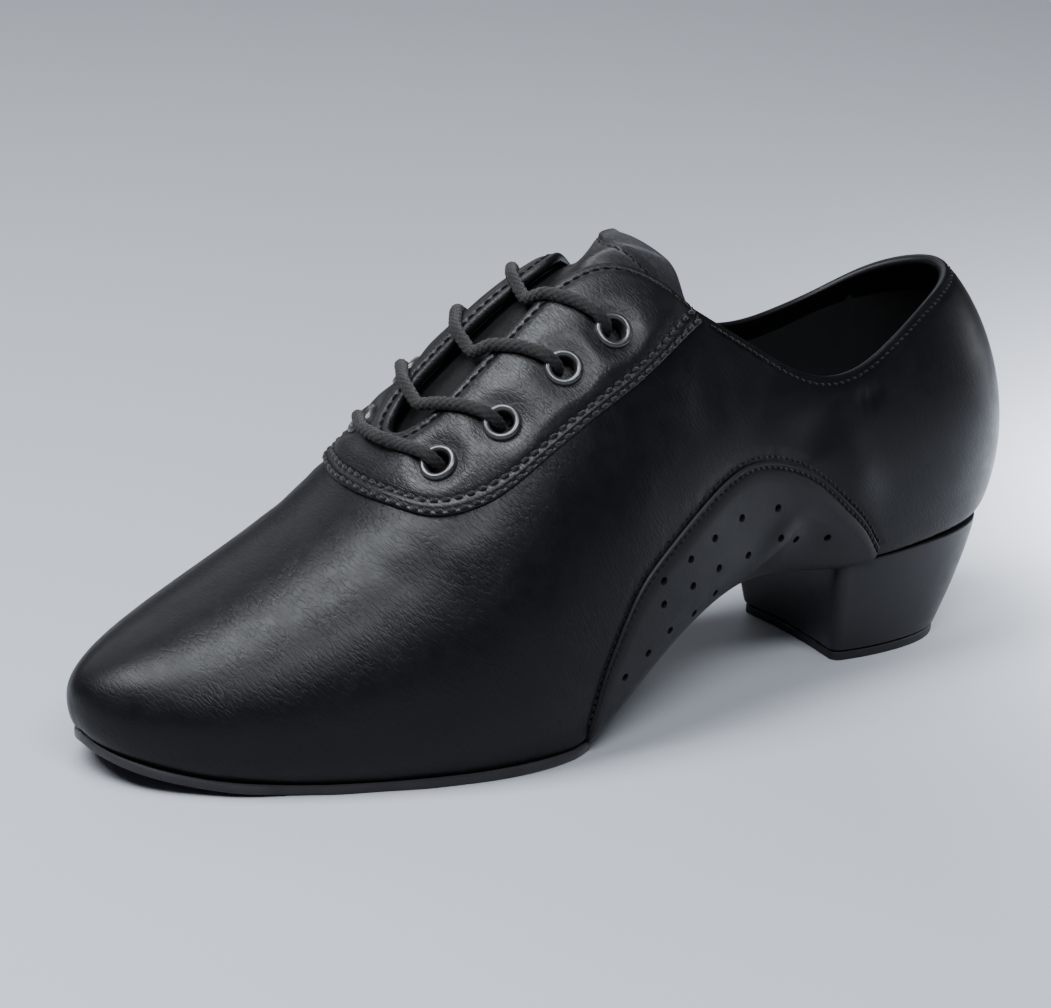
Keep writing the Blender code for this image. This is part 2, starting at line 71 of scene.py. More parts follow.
# Middle and radius of a place to leave open
Hole = tuple[np.ndarray, float]

# The last: hundredths of length, ball width, instep height and heel height, a row for each section
LAST_COLUMNS = (
    "x", "outer", "inner", "spine_y", "widest_z", "feather_z", "outer_tuck", "inner_tuck", "ridge_z",
)
LAST_ROWS = (
    (0.0, 0.0, 0.0, 0.0, 48.0, 100.0, 7.37, 7.37, 93.6),
    (5.59, 29.47, -29.47, 0.0, 47.6, 97.6, 6.32, 6.32, 93.6),
    (13.97, 35.26, -35.26, 0.0, 46.4, 92.27, 5.26, 5.26, 94.4),
    (24.44, 35.26, -34.21, 0.0, 44.0, 85.87, 7.89, 8.42, 96.4),
    (34.92, 36.84, -32.63, -0.32, 39.2, 83.47, 17.89, 15.79, 98.4),
    (45.39, 44.21, -35.79, -0.53, 32.0, 50.13, 18.95, 17.89, 100.0),
    (49.93, 47.16, -38.95, -0.53, 28.16, 28.8, 14.74, 14.21, 98.24),
    (54.12, 49.47, -42.11, -0.53, 24.8, 13.07, 8.95, 10.53, 93.84),
    (63.55, 52.11, -47.89, -0.53, 20.0, 3.2, 4.74, 5.26, 76.5),
    (73.32, 47.37, -51.05, -1.58, 17.6, 3.2, 4.74, 4.74, 55.6),
    (82.05, 38.42, -48.63, -4.21, 15.4, 5.9, 4.74, 4.74, 42.2),
    (90.08, 26.84, -42.11, -6.84, 13.8, 9.6, 4.74, 4.74, 32.4),
    (96.37, 12.11, -29.26, -8.95, 13.8, 18.67, 4.21, 4.21, 25.9),
    (100.0, -10.0, -10.0, -10.0, 16.8, 30.7, 3.68, 3.68, 16.8),
)

# The edge of the collar and throat: how far up each section the upper runs, in degrees
RIM_COLUMNS = ("x", "outer", "inner")
RIM_ROWS = (
    (0.0, 57.0, 57.0),
    (16.0, 52.4, 47.5),
    (34.0, 45.9, 37.8),
    (52.0, 37.1, 31.8),
    (66.0, 31.3, 29.8),
    (77.0, 30.9, 31.0),
    (88.0, 35.1, 34.5),
    (99.0, 42.7, 39.5),
    (111.0, 51.5, 45.0),
    (121.0, 60.4, 50.5),
    (130.0, 71.0, 58.5),
    (137.0, 77.5, 69.0),
    (145.0, 80.2, 80.5),
    (160.0, 79.6, 83.0),
    (172.0, 78.8, 81.0),
    (184.0, 79.5, 79.0),
    (197.0, 79.5, 79.5),
)

# The lace facing: its seam on the upper, and the point of the throat edge that faces each seam point
FACING_COLUMNS = ("seam_x", "outer", "inner", "edge_x")
FACING_ROWS = (
    (115.9, 52.6, 43.9, 118.5),
    (122.5, 50.1, 46.0, 124.0),
    (138.4, 45.2, 45.2, 134.0),
    (155.4, 44.2, 44.2, 148.0),
    (174.0, 44.9, 44.9, 165.0),
    (187.8, 46.8, 46.8, 180.0),
    (199.0, 53.7, 53.7, 190.0),
    (205.5, 64.9, 64.9, 194.5),
    (209.6, 79.0, 79.0, 196.6),
    (210.6, 90.0, 90.0, 197.0),
)

# The arch panel: its lower edge by the sole and its stitched upper edge
PANEL_COLUMNS = ("base_x", "base_rise", "edge_x", "edge_rise")
PANEL_ROWS = (
    (161.0, -66.0, 162.0, -54.0),
    (157.5, -69.0, 161.4, -38.0),
    (153.0, -71.0, 160.0, -18.5),
    (147.5, -72.0, 156.5, -0.8),
    (141.0, -73.0, 150.0, 6.0),
    (132.5, -74.0, 141.7, 9.9),
    (119.5, -75.0, 126.8, 13.7),
    (106.0, -75.0, 109.1, 17.0),
    (94.0, -75.0, 94.1, 14.4),
    (82.5, -74.0, 81.8, 8.0),
    (72.0, -72.0, 71.3, -3.8),
    (63.0, -70.0, 63.3, -27.0),
    (57.4, -68.0, 56.9, -57.0),
)

# The punched holes of the arch panel, in rows down its height
PUNCH_COLUMNS = ("x", "rise")
PUNCH_ROWS = (
    (96.6, 5.0),
    (110.5, 7.5),
    (121.1, 7.2),
    (130.3, 6.6),
    (140.2, 6.4),
    (107.4, -6.0),
    (119.1, 0.5),
    (129.2, 1.1),
    (140.1, 2.1),
    (118.8, -20.4),
    (126.8, -22.0),
    (136.8, -15.8),
    (144.6, -18.6),
    (152.7, -22.3),
    (95.6, -7.4),
    (88.2, -19.4),
    (76.9, -28.1),
)

# Eyelets, and where the lace dips into the throat and crosses its far edge
EYELET_COLUMNS = ("x", "rise", "knee_x", "knee_out", "far_x", "far_out")
EYELET_ROWS = (
    (194.1, 66.5, 199.1, 5.5, 199.0, 5.4),
    (178.6, 60.5, 189.6, 3.3, 186.8, 5.0),
    (160.6, 59.1, 175.1, 0.6, 172.4, 3.7),
    (145.0, 58.7, 159.1, 0.4, 155.8, 3.5),
)

# The sole: how far its edge stands out from the feather line, and its share of the forefoot's thickness
SOLE_COLUMNS = ("x", "lip", "share")
SOLE_ROWS = (
    (68.0, -0.6, 0.55),
    (100.0, -0.6, 0.55),
    (130.0, -0.6, 0.55),
    (148.0, 0.2, 0.75),
    (166.0, 1.4, 1.0),
    (210.0, 1.6, 1.0),
    (256.0, 1.9, 1.0),
    (278.0, 1.8, 1.0),
    (286.4, 0.8, 1.0),
)

# The main creases of the leather: stops along each by distance from the heel and rise,
# then its width and its height, below zero in a trough. The last two are the ridge across the arch panel
# and the hollow waist behind it
CREASES = (
    (((216.0, 80.0), (209.0, 62.0), (202.0, 47.5), (193.0, 40.0), (180.0, 37.0)), 5.0, 0.55),
    (((212.0, 70.0), (207.0, 54.0), (199.0, 43.0)), 2.2, -0.25),
    (((222.0, 66.0), (214.0, 50.0), (207.0, 34.0)), 3.0, -0.22),
    (((205.0, 40.0), (198.0, 28.0), (193.0, 14.0)), 5.0, -0.35),
    (((192.0, 34.0), (187.0, 20.0), (184.0, 6.0)), 5.5, 0.4),
    (((76.0, 28.0), (70.0, 9.0), (64.0, -2.0), (56.0, -30.0)), 6.0, 1.2),
    (((86.0, 28.0), (82.0, 18.0), (78.0, 10.0)), 7.0, -0.6),
    (((67.0, 27.0), (65.5, 23.5), (64.6, 19.0)), 1.2, -0.45),
    (((63.6, 27.5), (62.2, 23.5), (61.6, 18.0)), 1.2, -0.5),
    (((60.4, 28.5), (59.2, 24.5), (58.8, 20.5)), 1.1, -0.4),
    (((125.0, 44.0), (120.0, 34.0), (112.0, 24.0)), 6.0, -0.5),
    (((148.0, 38.0), (146.0, 24.0), (150.0, 12.0)), 8.0, 0.5),
    (
        (
            (84.0, 3.5), (87.7, 0.0), (91.8, -5.2), (96.7, -13.2),
            (101.4, -20.9), (105.6, -30.0), (112.0, -48.0),
        ),
        3.8,
        1.0,
    ),
    (((79.0, -14.0), (80.0, -18.0), (83.0, -27.0), (88.4, -38.4), (92.0, -56.0), (94.8, -70.0)), 7.0, -0.9),
)

# The seam of the lining's heel pocket, by distance from the heel and rise
POCKET_STOPS = ((19.0, 60.0), (23.5, 37.0), (27.0, 18.0), (34.0, -20.0), (44.0, -70.0))


class Side(Enum):
    """The two sides of a left shoe."""

    OUTER = 1
    INNER = -1

    @property
    def word(self) -> str:
        """The side's name in tables and piece names."""
        return self.name.lower()


class Slot(Enum):
    """The record's material slots."""

    LEATHER = "black_leather"
    PANEL = "perforated_leather"
    TONGUE = "tongue_leather"
    LINING = "insole_lining"
    SUEDE = "sole_suede"
    HEEL = "heel_leather"
    TIP = "tip_rubber"
    ENAMEL = "eyelet_enamel"
    CORD = "lace_cord"


def named_columns(names: Sequence[str], rows: Sequence[Sequence[float]]) -> dict[str, np.ndarray]:
    """Splits a table into one array for each named column.

    Args:
        names: the names of the columns.
        rows: the rows of the table.

    Returns:
        The arrays by column name.
    """
    return {name: np.array(values, float) for name, values in zip(names, zip(*rows))}


def smooth(part: np.ndarray) -> np.ndarray:
    """An even rise from zero to one."""
    part = np.clip(part, 0, 1)
    return part * part * (3 - 2 * part)


def round_edge(distance: np.ndarray, radius: float) -> np.ndarray:
    """A quarter round that rises from zero at an edge to one at a radius from it."""
    return np.sqrt(1 - (1 - np.clip(distance / radius, 0, 1)) ** 2)


def bell(distance: np.ndarray, width: float) -> np.ndarray:
    """A round swell that is one at no distance and fades over a width."""
    return np.exp(-((distance / width) ** 2))


def unit(vectors: np.ndarray) -> np.ndarray:
    """The vectors at length one."""
    return vectors / np.maximum(np.linalg.norm(vectors, axis=-1, keepdims=True), TINY)


def run_lengths(points: np.ndarray, axis: int) -> np.ndarray:
    """Measures how far each point lies along its line.

    Args:
        points: a grid of points, or one line of them.
        axis: the axis of the grid that the lines follow.

    Returns:
        The distance from the start of the line to each point.
    """
    steps = np.linalg.norm(np.diff(points, axis=axis), axis=-1)
    start = np.zeros_like(np.take(steps, [0], axis=axis))
    return np.concatenate([start, np.cumsum(steps, axis=axis)], axis=axis)


class Curve:
    """A smooth curve through values at knots: a natural cubic spline."""

    def __init__(self, knots: Sequence[float], values: Sequence[float]) -> None:
        """Works out the bend at each knot.

        Args:
            knots: rising positions.
            values: the curve's value at each knot.
        """
        self.knots = np.asarray(knots, float)
        self.values = np.asarray(values, float)
        count = len(self.knots)
        self.step = np.diff(self.knots)
        slope = np.diff(self.values) / self.step
        matrix = np.eye(count)
        right = np.zeros(count)
        for i in range(1, count - 1):
            matrix[i, i - 1:i + 2] = self.step[i - 1], 2 * (self.step[i - 1] + self.step[i]), self.step[i]
            right[i] = 6 * (slope[i] - slope[i - 1])
        self.bend = np.linalg.solve(matrix, right)

    def __call__(self, at: np.ndarray) -> np.ndarray:
        """Reads the curve.

        Args:
            at: positions to read it at.

        Returns:
            The values there.
        """
        i = np.clip(np.searchsorted(self.knots, at) - 1, 0, len(self.knots) - 2)
        d = np.asarray(at, float) - self.knots[i]
        h = self.step[i]
        b0 = self.bend[i]
        b1 = self.bend[i + 1]
        slope = (self.values[i + 1] - self.values[i]) / h - h * (2 * b0 + b1) / 6
        return self.values[i] + d * slope + d ** 2 * b0 / 2 + d ** 3 * (b1 - b0) / (6 * h)


def row_curves(names: Sequence[str], rows: Sequence[Sequence[float]]) -> dict[str, Curve]:
    """Curves through the columns of a table of points, from zero at its first row to one at its last.

    Args:
        names: the names of the columns.
        rows: the rows of the table.

    Returns:
        The curves by column name.
    """
    part = np.linspace(0, 1, len(rows))
    return {name: Curve(part, values) for name, values in named_columns(names, rows).items()}


@dataclass
class Last:
    """The form that the shoe is made on: an angle runs along it, a rise up each section."""

    length: float = 286.4
    ball_width: float = 95.0
    instep_height: float = 125.0
    heel_height: float = 37.5
    sole_thickness: float = 2.2
    heel_centre_shift: float = 38.0
    heel_fan_length: float = 85.0
    origin: tuple[float, float, float] = (143.2, 0.4, 0.0)
    ridge_rise: float = 90.0
    feather_rise: float = -90.0
    end_guard: float = 0.03
    columns: dict[str, Curve] = field(init=False)

    def __post_init__(self) -> None:
        """Turns the table of shares into curves along the length."""
        wide = self.ball_width
        tall = self.instep_height
        sizes = (self.length, wide, wide, wide, tall, self.heel_height, wide, wide, tall)
        shares = named_columns(LAST_COLUMNS, LAST_ROWS)
        values = {name: shares[name] * size / 100 for name, size in zip(LAST_COLUMNS, sizes)}
        knots = self.angle_of(values["x"])
        self.columns = {name: Curve(knots, values[name]) for name in LAST_COLUMNS}

    def angle_of(self, x: np.ndarray) -> np.ndarray:
        """The angle at a distance from the back of the heel: zero there, pi at the tip of the toe."""
        return np.arccos(np.clip(1 - 2 * np.asarray(x, float) / self.length, -1, 1))

    def length_of(self, angle: np.ndarray) -> np.ndarray:
        """The distance from the back of the heel at an angle."""
        return self.length * (1 - np.cos(angle)) / 2

    def feather(self, angle: np.ndarray) -> np.ndarray:
        """The height of the line where the upper meets the sole, flat under the ball."""
        return np.maximum(self.columns["feather_z"](angle), self.sole_thickness)

    def outline(self, angle: np.ndarray, side: Side) -> np.ndarray:
        """The widest outline in plan."""
        return np.stack([self.length_of(angle), self.columns[side.word](angle)], -1)

    def plan_normal(self, angle: np.ndarray, side: Side) -> np.ndarray:
        """Finds the outward direction of the widest outline in plan.

        Args:
            angle: angles along the length.
            side: the side of the shoe.

        Returns:
            The directions in plan.
        """
        reach = 1e-4
        ahead = self.outline(np.minimum(angle + reach, math.pi), side)
        along = unit(ahead - self.outline(np.maximum(angle - reach, 0), side))
        return np.stack([-along[..., 1] * side.value, along[..., 0] * side.value], -1)

    def point(self, angle: np.ndarray, rise: np.ndarray, side: Side) -> np.ndarray:
        """Places points on the last.

        Args:
            angle: angles along the length.
            rise: degrees up the section, -90 at the feather, 0 at the widest line, 90 at the ridge.
            side: the side of the shoe.

        Returns:
            The points.
        """
        angle, rise = np.broadcast_arrays(np.asarray(angle, float), np.asarray(rise, float))
        above = np.radians(np.maximum(rise, 0))
        below = np.radians(np.minimum(rise, 0))
        x = self.length_of(angle)
        shift = self.heel_centre_shift * (1 - smooth(x / self.heel_fan_length))
        middle = np.stack([x + shift, self.columns["spine_y"](angle)], -1)
        plan = middle + (self.outline(angle, side) - middle) * np.cos(above)[..., None]
        tuck = self.columns[side.word + "_tuck"](angle) * (1 - np.cos(below))
        plan = plan - self.plan_normal(angle, side) * tuck[..., None]
        widest = self.columns["widest_z"](angle)
        z = widest + (self.columns["ridge_z"](angle) - widest) * np.sin(above)
        z = z + (widest - self.feather(angle)) * np.sin(below)
        return np.concatenate([plan, z[..., None]], -1)

    def normal(self, angle: np.ndarray, rise: np.ndarray, side: Side) -> np.ndarray:
        """Finds the outward direction of the last's surface.

        Args:
            angle: angles along the length.
            rise: degrees up the section.
            side: the side of the shoe.

        Returns:
            The directions.
        """
        angle, rise = np.broadcast_arrays(np.asarray(angle, float), np.asarray(rise, float))
        angle = np.clip(angle, 0, math.pi - self.end_guard)
        reach = 1e-3
        turn = 0.1
        along = self.point(angle + reach, rise, side) - self.point(np.maximum(angle - reach, 0), rise, side)
        higher = np.minimum(rise + turn, self.ridge_rise)
        upward = self.point(angle, higher, side) - self.point(angle, rise - turn, side)
        return unit(np.cross(upward, along) * side.value)

    def raised(self, angle: np.ndarray, rise: np.ndarray, side: Side, out: np.ndarray) -> np.ndarray:
        """Points at a distance out from the last's surface."""
        reach = np.asarray(out, float)[..., None]
        return self.point(angle, rise, side) + self.normal(angle, rise, side) * reach

    def lower(self, angle: np.ndarray, rise: np.ndarray, side: Side, distance: float) -> np.ndarray:
        """Finds the rise at a distance down the section from another.

        Args:
            angle: angles along the length.
            rise: degrees up the section to start from.
            side: the side of the shoe.
            distance: how far down to go, in millimetres.

        Returns:
            The rise there.
        """
        turn = 1.0
        run = np.linalg.norm(self.point(angle, rise, side) - self.point(angle, rise - turn, side), axis=-1)
        return rise - turn * distance / run

    def section_height(self, angle: np.ndarray, above: np.ndarray) -> np.ndarray:
        """The height of a section above its widest line where asked, and below it elsewhere."""
        widest = self.columns["widest_z"](angle)
        return np.where(above, self.columns["ridge_z"](angle) - widest, widest - self.feather(angle))

    def climb_of(self, angle: np.ndarray, rise: np.ndarray) -> np.ndarray:
        """Millimetres up the section from its widest line, in which a straight line crosses it unbent."""
        return np.radians(rise) * self.section_height(angle, np.asarray(rise) > 0)

    def rise_of(self, angle: np.ndarray, climb: np.ndarray) -> np.ndarray:
        """The rise at a climb up the section, no further down than the feather."""
        return np.maximum(np.degrees(climb / self.section_height(angle, climb > 0)), self.feather_rise)

    def to_world(self, points: np.ndarray) -> np.ndarray:
        """Millimetres from the back of the heel to metres in the frame."""
        return (np.asarray(points, float) - np.array(self.origin)) * MM


@dataclass
class Fold:
    """A soft ridge or trough along a line."""

    line: np.ndarray
    width: float
    height: float
    tapered: bool = True
    reach: float = 3.0
    chunk: int = 3000

    def lift(self, points: np.ndarray) -> np.ndarray:
        """Works out how far the fold lifts each point.

        Args:
            points: a list of points.

        Returns:
            The lift of each point, below zero in a trough.
        """
        part = np.linspace(0, 1, len(self.line))
        weight = np.sin(np.pi * part) ** 2 if self.tapered else np.ones_like(part)
        lift = np.zeros(len(points))
        reach = self.reach * self.width
        near = ((points > self.line.min(0) - reach) & (points < self.line.max(0) + reach)).all(1)
        index = np.flatnonzero(near)
        for chunk in np.array_split(index, 1 + len(index) // self.chunk):
            gap = np.linalg.norm(points[chunk, None] - self.line[None], axis=2)
            nearest = gap.argmin(1)
            gap = gap[np.arange(len(chunk)), nearest]
            lift[chunk] = self.height * weight[nearest] * bell(gap, self.width)
        return lift


def lift_of(folds: Sequence[Fold], points: np.ndarray) -> np.ndarray:
    """The lift of all folds together over a grid of points."""
    flat = points.reshape(-1, 3)
    return sum((fold.lift(flat) for fold in folds), np.zeros(len(flat))).reshape(points.shape[:-1])


class Work:
    """A mesh in the making: points, faces, and the lie of the grain at each point."""

    def __init__(self, last: Last) -> None:
        """Starts with nothing in it.

        Args:
            last: the last, which knows the frame.
        """
        self.last = last
        self.points: list[np.ndarray] = []
        self.flow: list[np.ndarray] = []
        self.faces: list[list[int]] = []
        self.count = 0

    def add(self, points: np.ndarray, flow: Optional[np.ndarray] = None) -> int:
        """Adds loose points.

        Args:
            points: the points, in any shape of grid.
            flow: where each one lies in the grain, in millimetres across and along it.

        Returns:
            The number of the first point.
        """
        flat = points.reshape(-1, 3)
        start = self.count
        self.points.append(flat)
        self.flow.append(np.zeros((len(flat), 2)) if flow is None else flow.reshape(-1, 2))
        self.count += len(flat)
        return start

    def sheet(
        self,
        points: np.ndarray,
        flow: Optional[np.ndarray] = None,
        turned: bool = False,
        ringed: bool = False,
        holes: Sequence[Hole] = (),
    ) -> None:
        """Adds a sheet of quads through a grid of points.

        Args:
            points: rows of points.
            flow: the lie of the grain at each point.
            turned: whether the faces look the other way.
            ringed: whether each row closes into a ring.
            holes: centre and radius of each place to leave open.
        """
        start = self.add(points, flow)
        rows, columns = points.shape[:2]
        number = start + np.arange(rows * columns).reshape(rows, columns)
        if ringed:
            number = np.concatenate([number, number[:, :1]], axis=1)
        corners = [number[:-1, :-1], number[1:, :-1], number[1:, 1:], number[:-1, 1:]]
        quads = np.stack(corners, -1).reshape(-1, 4)
        flat = points.reshape(-1, 3)
        for centre, radius in holes:
            middle = flat[quads - start].mean(1)
            quads = quads[np.linalg.norm(middle - centre, axis=1) > radius]
        self.faces.extend((quads[:, ::-1] if turned else quads).tolist())

    def cap(self, ring: np.ndarray, turned: bool = False) -> None:
        """Adds one face across a ring of points.

        Args:
            ring: the points round it.
            turned: whether the face looks the other way.
        """
        start = self.add(ring)
        numbers = list(range(start, start + len(ring)))
        self.faces.append(numbers[::-1] if turned else numbers)

    def piece(
        self,
        name: str,
        material: bpy.types.Material,
        nodes: Sequence[str] = (),
        closed: bool = False,
        crisp: float = 180.0,
    ) -> bpy.types.Object:
        """Makes the piece and sets it in the frame.

        Args:
            name: the piece's name.
            material: its finish.
            nodes: the frame's nodes that it stands for.
            closed: whether it is a closed body, whose faces are then turned outward.
            crisp: the angle in degrees past which an edge stays sharp.

        Returns:
            The piece.
        """
        mesh = bpy.data.meshes.new(name)
        mesh.from_pydata(self.last.to_world(np.concatenate(self.points)), [], self.faces)
        flow = np.concatenate(self.flow) * MM
        corner = np.empty(len(mesh.loops), int)
        mesh.loops.foreach_get("vertex_index", corner)
        mesh.uv_layers.new(name="grain").data.foreach_set("uv", flow[corner].astype(np.float32).ravel())
        work = bmesh.new()
        work.from_mesh(mesh)
        bmesh.ops.remove_doubles(work, verts=work.verts, dist=WELD * MM)
        bmesh.ops.dissolve_degenerate(work, edges=work.edges, dist=WELD * MM)
        if closed:
            bmesh.ops.recalc_face_normals(work, faces=work.faces)
        work.to_mesh(mesh)
        work.free()
        mesh.polygons.foreach_set("use_smooth", [True] * len(mesh.polygons))
        mesh.set_sharp_from_angle(angle=math.radians(crisp))
        mesh.materials.append(material)
        thing = bpy.data.objects.new(name, mesh)
        bpy.context.scene.collection.objects.link(thing)
        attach(thing, BODY)
        if nodes:
            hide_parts(*nodes)
        LOG.info("%s: %d faces", name, len(mesh.polygons))
        return thing


class Nodes:
    """A material's nodes, laid down one after another."""

    def __init__(self, name: str) -> None:
        """Makes the material.

        Args:
            name: the material's name.
        """
        self.material = bpy.data.materials.new(name)
        self.material.use_nodes = True
        self.tree = self.material.node_tree
        self.shader = self.tree.nodes["Principled BSDF"]

    def set(self, **values: object) -> None:
        """Sets the shader's own sockets, named with underscores for spaces."""
        for name, value in values.items():
            self.shader.inputs[name.replace("_", " ")].default_value = value

    def node(self, kind: str, links: Optional[dict] = None, **settings: object) -> bpy.types.Node:
        """Adds a node.

        Args:
            kind: the node's type, without its prefix.
            links: sockets or values for its inputs, by name or number.
            settings: the node's own settings.

        Returns:
            The node.
        """
        made = self.tree.nodes.new("ShaderNode" + kind)
        for name, value in settings.items():
            setattr(made, name, value)
        for name, value in (links or {}).items():
            if isinstance(value, bpy.types.NodeSocket):
                self.tree.links.new(value, made.inputs[name])
            else:
                made.inputs[name].default_value = value
        return made

    def math(self, operation: str, *values: object) -> bpy.types.NodeSocket:
        """Adds a sum of one or two sockets or numbers."""
        return self.node("Math", dict(enumerate(values)), operation=operation).outputs[0]

    def spread(
        self,
        value: bpy.types.NodeSocket,
        span: tuple[float, float],
        to: tuple[float, float],
    ) -> bpy.types.NodeSocket:
        """Carries a span of a value on to another span, with soft ends.

        Args:
            value: the value to carry over.
            span: the two ends of its span.
            to: what these ends become.

        Returns:
            The new value.
        """
        ends = zip(("From Min", "From Max", "To Min", "To Max"), (*span, *to))
        links = {"Value": value, **dict(ends)}
        return self.node("MapRange", links, interpolation_type="SMOOTHSTEP").outputs[0]

    def grain_place(self, across: float, along: float) -> bpy.types.NodeSocket:
        """Finds the place in the grain, in steps of a length across and along it.

        Args:
            across: millimetres to a step across the shoe.
            along: millimetres to a step along it.

        Returns:
            The place as a vector.
        """
        grain = self.node("UVMap", uv_map="grain")
        scale = (1 / (across * MM), 1 / (along * MM), 1.0)
        return self.node("Mapping", {"Vector": grain.outputs["UV"], "Scale": scale}).outputs["Vector"]

    def crease_place(self, spacing: float, length: float, lean: float) -> bpy.types.NodeSocket:
        """Finds the place on the object, in steps of the creases' spacing and length.

        Args:
            spacing: millimetres from one crease to the next.
            length: the length of a crease in millimetres.
            lean: how far the planes that hold the creases lean back, in degrees.

        Returns:
            The place as a vector.
        """
        scale = (spacing * MM, length * MM, length * MM)
        links = {"Vector": self.object_place(), "Rotation": (0.0, math.radians(lean), 0.0), "Scale": scale}
        return self.node("Mapping", links, vector_type="TEXTURE").outputs["Vector"]

    def object_place(self) -> bpy.types.NodeSocket:
        """The place on the object, in metres."""
        return self.node("TexCoord").outputs["Object"]

    def noise(self, step: float, detail: float = 2.0) -> bpy.types.NodeSocket:
        """Adds a soft noise over the object.

        Args:
            step: the size of its blots, in millimetres.
            detail: how many finer noises it holds.

        Returns:
            The noise, about zero to one.
        """
        links = {"Vector": self.object_place(), "Scale": 1 / (step * MM), "Detail": detail}
        return self.node("TexNoise", links).outputs["Fac"]

    def colour(self, factor: bpy.types.NodeSocket, dark: tuple, light: tuple) -> None:
        """Blends two colours into the shader's own."""
        first, second, result = 6, 7, 2
        links = {"Factor": factor, first: (*dark, 1.0), second: (*light, 1.0)}
        mixed = self.node("Mix", links, data_type="RGBA")
        self.tree.links.new(mixed.outputs[result], self.shader.inputs["Base Color"])

    def roughness(self, factor: bpy.types.NodeSocket, low: float, high: float) -> None:
        """Spreads the middle of a noise into the shader's roughness."""
        middle = (0.3, 0.7)
        self.tree.links.new(self.spread(factor, middle, (low, high)), self.shader.inputs["Roughness"])

    def relief(self, layers: Sequence[tuple[bpy.types.NodeSocket, float]]) -> None:
        """Raises the surface.

        Args:
            layers: heights from zero to one, each with its depth in millimetres.
        """
        normal = None
        for height, depth in layers:
            links = {"Height": height, "Distance": depth * MM}
            if normal is not None:
                links["Normal"] = normal
            normal = self.node("Bump", links).outputs["Normal"]
        self.tree.links.new(normal, self.shader.inputs["Normal"])


@dataclass(frozen=True)
class LeatherFinish:
    """Dyed leather with pores, and fine creases that run across the shoe."""

    name: str
    dark: tuple[float, float, float] = (0.0015, 0.0015, 0.002)
    light: tuple[float, float, float] = (0.0035, 0.0035, 0.0043)
    smoothest: float = 0.37
    roughest: float = 0.45
    coat: float = 0.03
    coat_roughness: float = 0.25
    specular: float = 0.16
    crease_length: float = 4.4
    crease_spacing: float = 1.25
    crease_lean: float = 36.0
    crease_depth: float = 0.05
    crease_line: float = 0.13
    crease_least: float = 0.55
    crease_stray: float = 0.8
    crease_stray_scale: float = 0.9
    crease_fineness: float = 0.6
    patch_step: float = 7.0
    patch_span: tuple[float, float] = (0.36, 0.62)
    heel_fade: tuple[float, float] = (-0.06, 0.045)
    heel_share: float = 0.3
    toe_fade: tuple[float, float] = (0.1, 0.14)
    toe_share: float = 0.5
    # Centre of a painted highlight on the tongue's top: the colour is light near it and darkens away from
    # it as painted shade down into the throat, and the creases get painted shade
    painted_highlight_spot: Optional[tuple[float, float, float]] = None
    painted_highlight_reach: tuple[float, float] = (0.006, 0.031)
    painted_crease_shade: float = 0.6
    tone_step: float = 22.0
    rub_step: float = 5.0
    rub_detail: float = 4.0
    pore_step: float = 0.7
    pore_depth: float = 0.015
    dent_step: float = 9.0
    dent_depth: float = 0.04
    dent_detail: float = 3.0

    def creases(self, nodes: Nodes, lengthwise: bpy.types.NodeSocket) -> bpy.types.NodeSocket:
        """Draws the fine creases, fainter towards the heel and the tip of the toe.

        Args:
            nodes: the material's nodes.
            lengthwise: the place along the shoe, in metres.

        Returns:
            Their height: zero between the creases, below zero in them.
        """
        place = nodes.crease_place(self.crease_spacing, self.crease_length, self.crease_lean)
        links = {"Vector": place, "Scale": self.crease_stray_scale, "Detail": 2.0}
        links = {0: nodes.node("TexNoise", links).outputs["Color"], 1: (self.crease_stray,) * 3, 2: place}
        place = nodes.node("VectorMath", links, operation="MULTIPLY_ADD").outputs[0]
        links = {"Vector": place, "Scale": 1.0, "Detail": 1.0, "Roughness": self.crease_fineness}
        cells = nodes.node("TexVoronoi", links, feature="DISTANCE_TO_EDGE").outputs["Distance"]
        crease = nodes.math("SUBTRACT", nodes.spread(cells, (0.0, self.crease_line), (0.0, 1.0)), 1.0)
        weights = (
            nodes.spread(nodes.noise(self.patch_step), self.patch_span, (self.crease_least, 1.0)),
            nodes.spread(lengthwise, self.heel_fade, (self.heel_share, 1.0)),
            nodes.spread(lengthwise, self.toe_fade, (1.0, self.toe_share)),
        )
        for weight in weights:
            crease = nodes.math("MULTIPLY", crease, weight)
        return crease

    def material(self) -> bpy.types.Material:
        """Makes the finish as a material."""
        nodes = Nodes(self.name)
        nodes.set(
            Coat_Weight=self.coat,
            Coat_Roughness=self.coat_roughness,
            Specular_IOR_Level=self.specular,
        )
        place = nodes.object_place()
        crease = self.creases(nodes, nodes.node("SeparateXYZ", {0: place}).outputs["X"])
        links = {"Vector": place, "Scale": 1 / (self.pore_step * MM)}
        pore = nodes.node("TexVoronoi", links, feature="SMOOTH_F1").outputs["Distance"]
        dent = nodes.noise(self.dent_step, self.dent_detail)
        tone = nodes.noise(self.tone_step)
        # Painted highlight round a spot, fading to painted shade away from it, with painted shade darkening
        # the creases
        if self.painted_highlight_spot:
            measure = nodes.node("VectorMath", {0: place, 1: self.painted_highlight_spot}, operation="DISTANCE")
            away = measure.outputs["Value"]
            light = nodes.spread(away, self.painted_highlight_reach, (1.0, 0.0))
            tone = nodes.math("MULTIPLY_ADD", crease, self.painted_crease_shade, light)
        nodes.colour(tone, self.dark, self.light)
        nodes.roughness(nodes.noise(self.rub_step, self.rub_detail), self.smoothest, self.roughest)
        nodes.relief([(dent, self.dent_depth), (crease, self.crease_depth), (pore, self.pore_depth)])
        return nodes.material


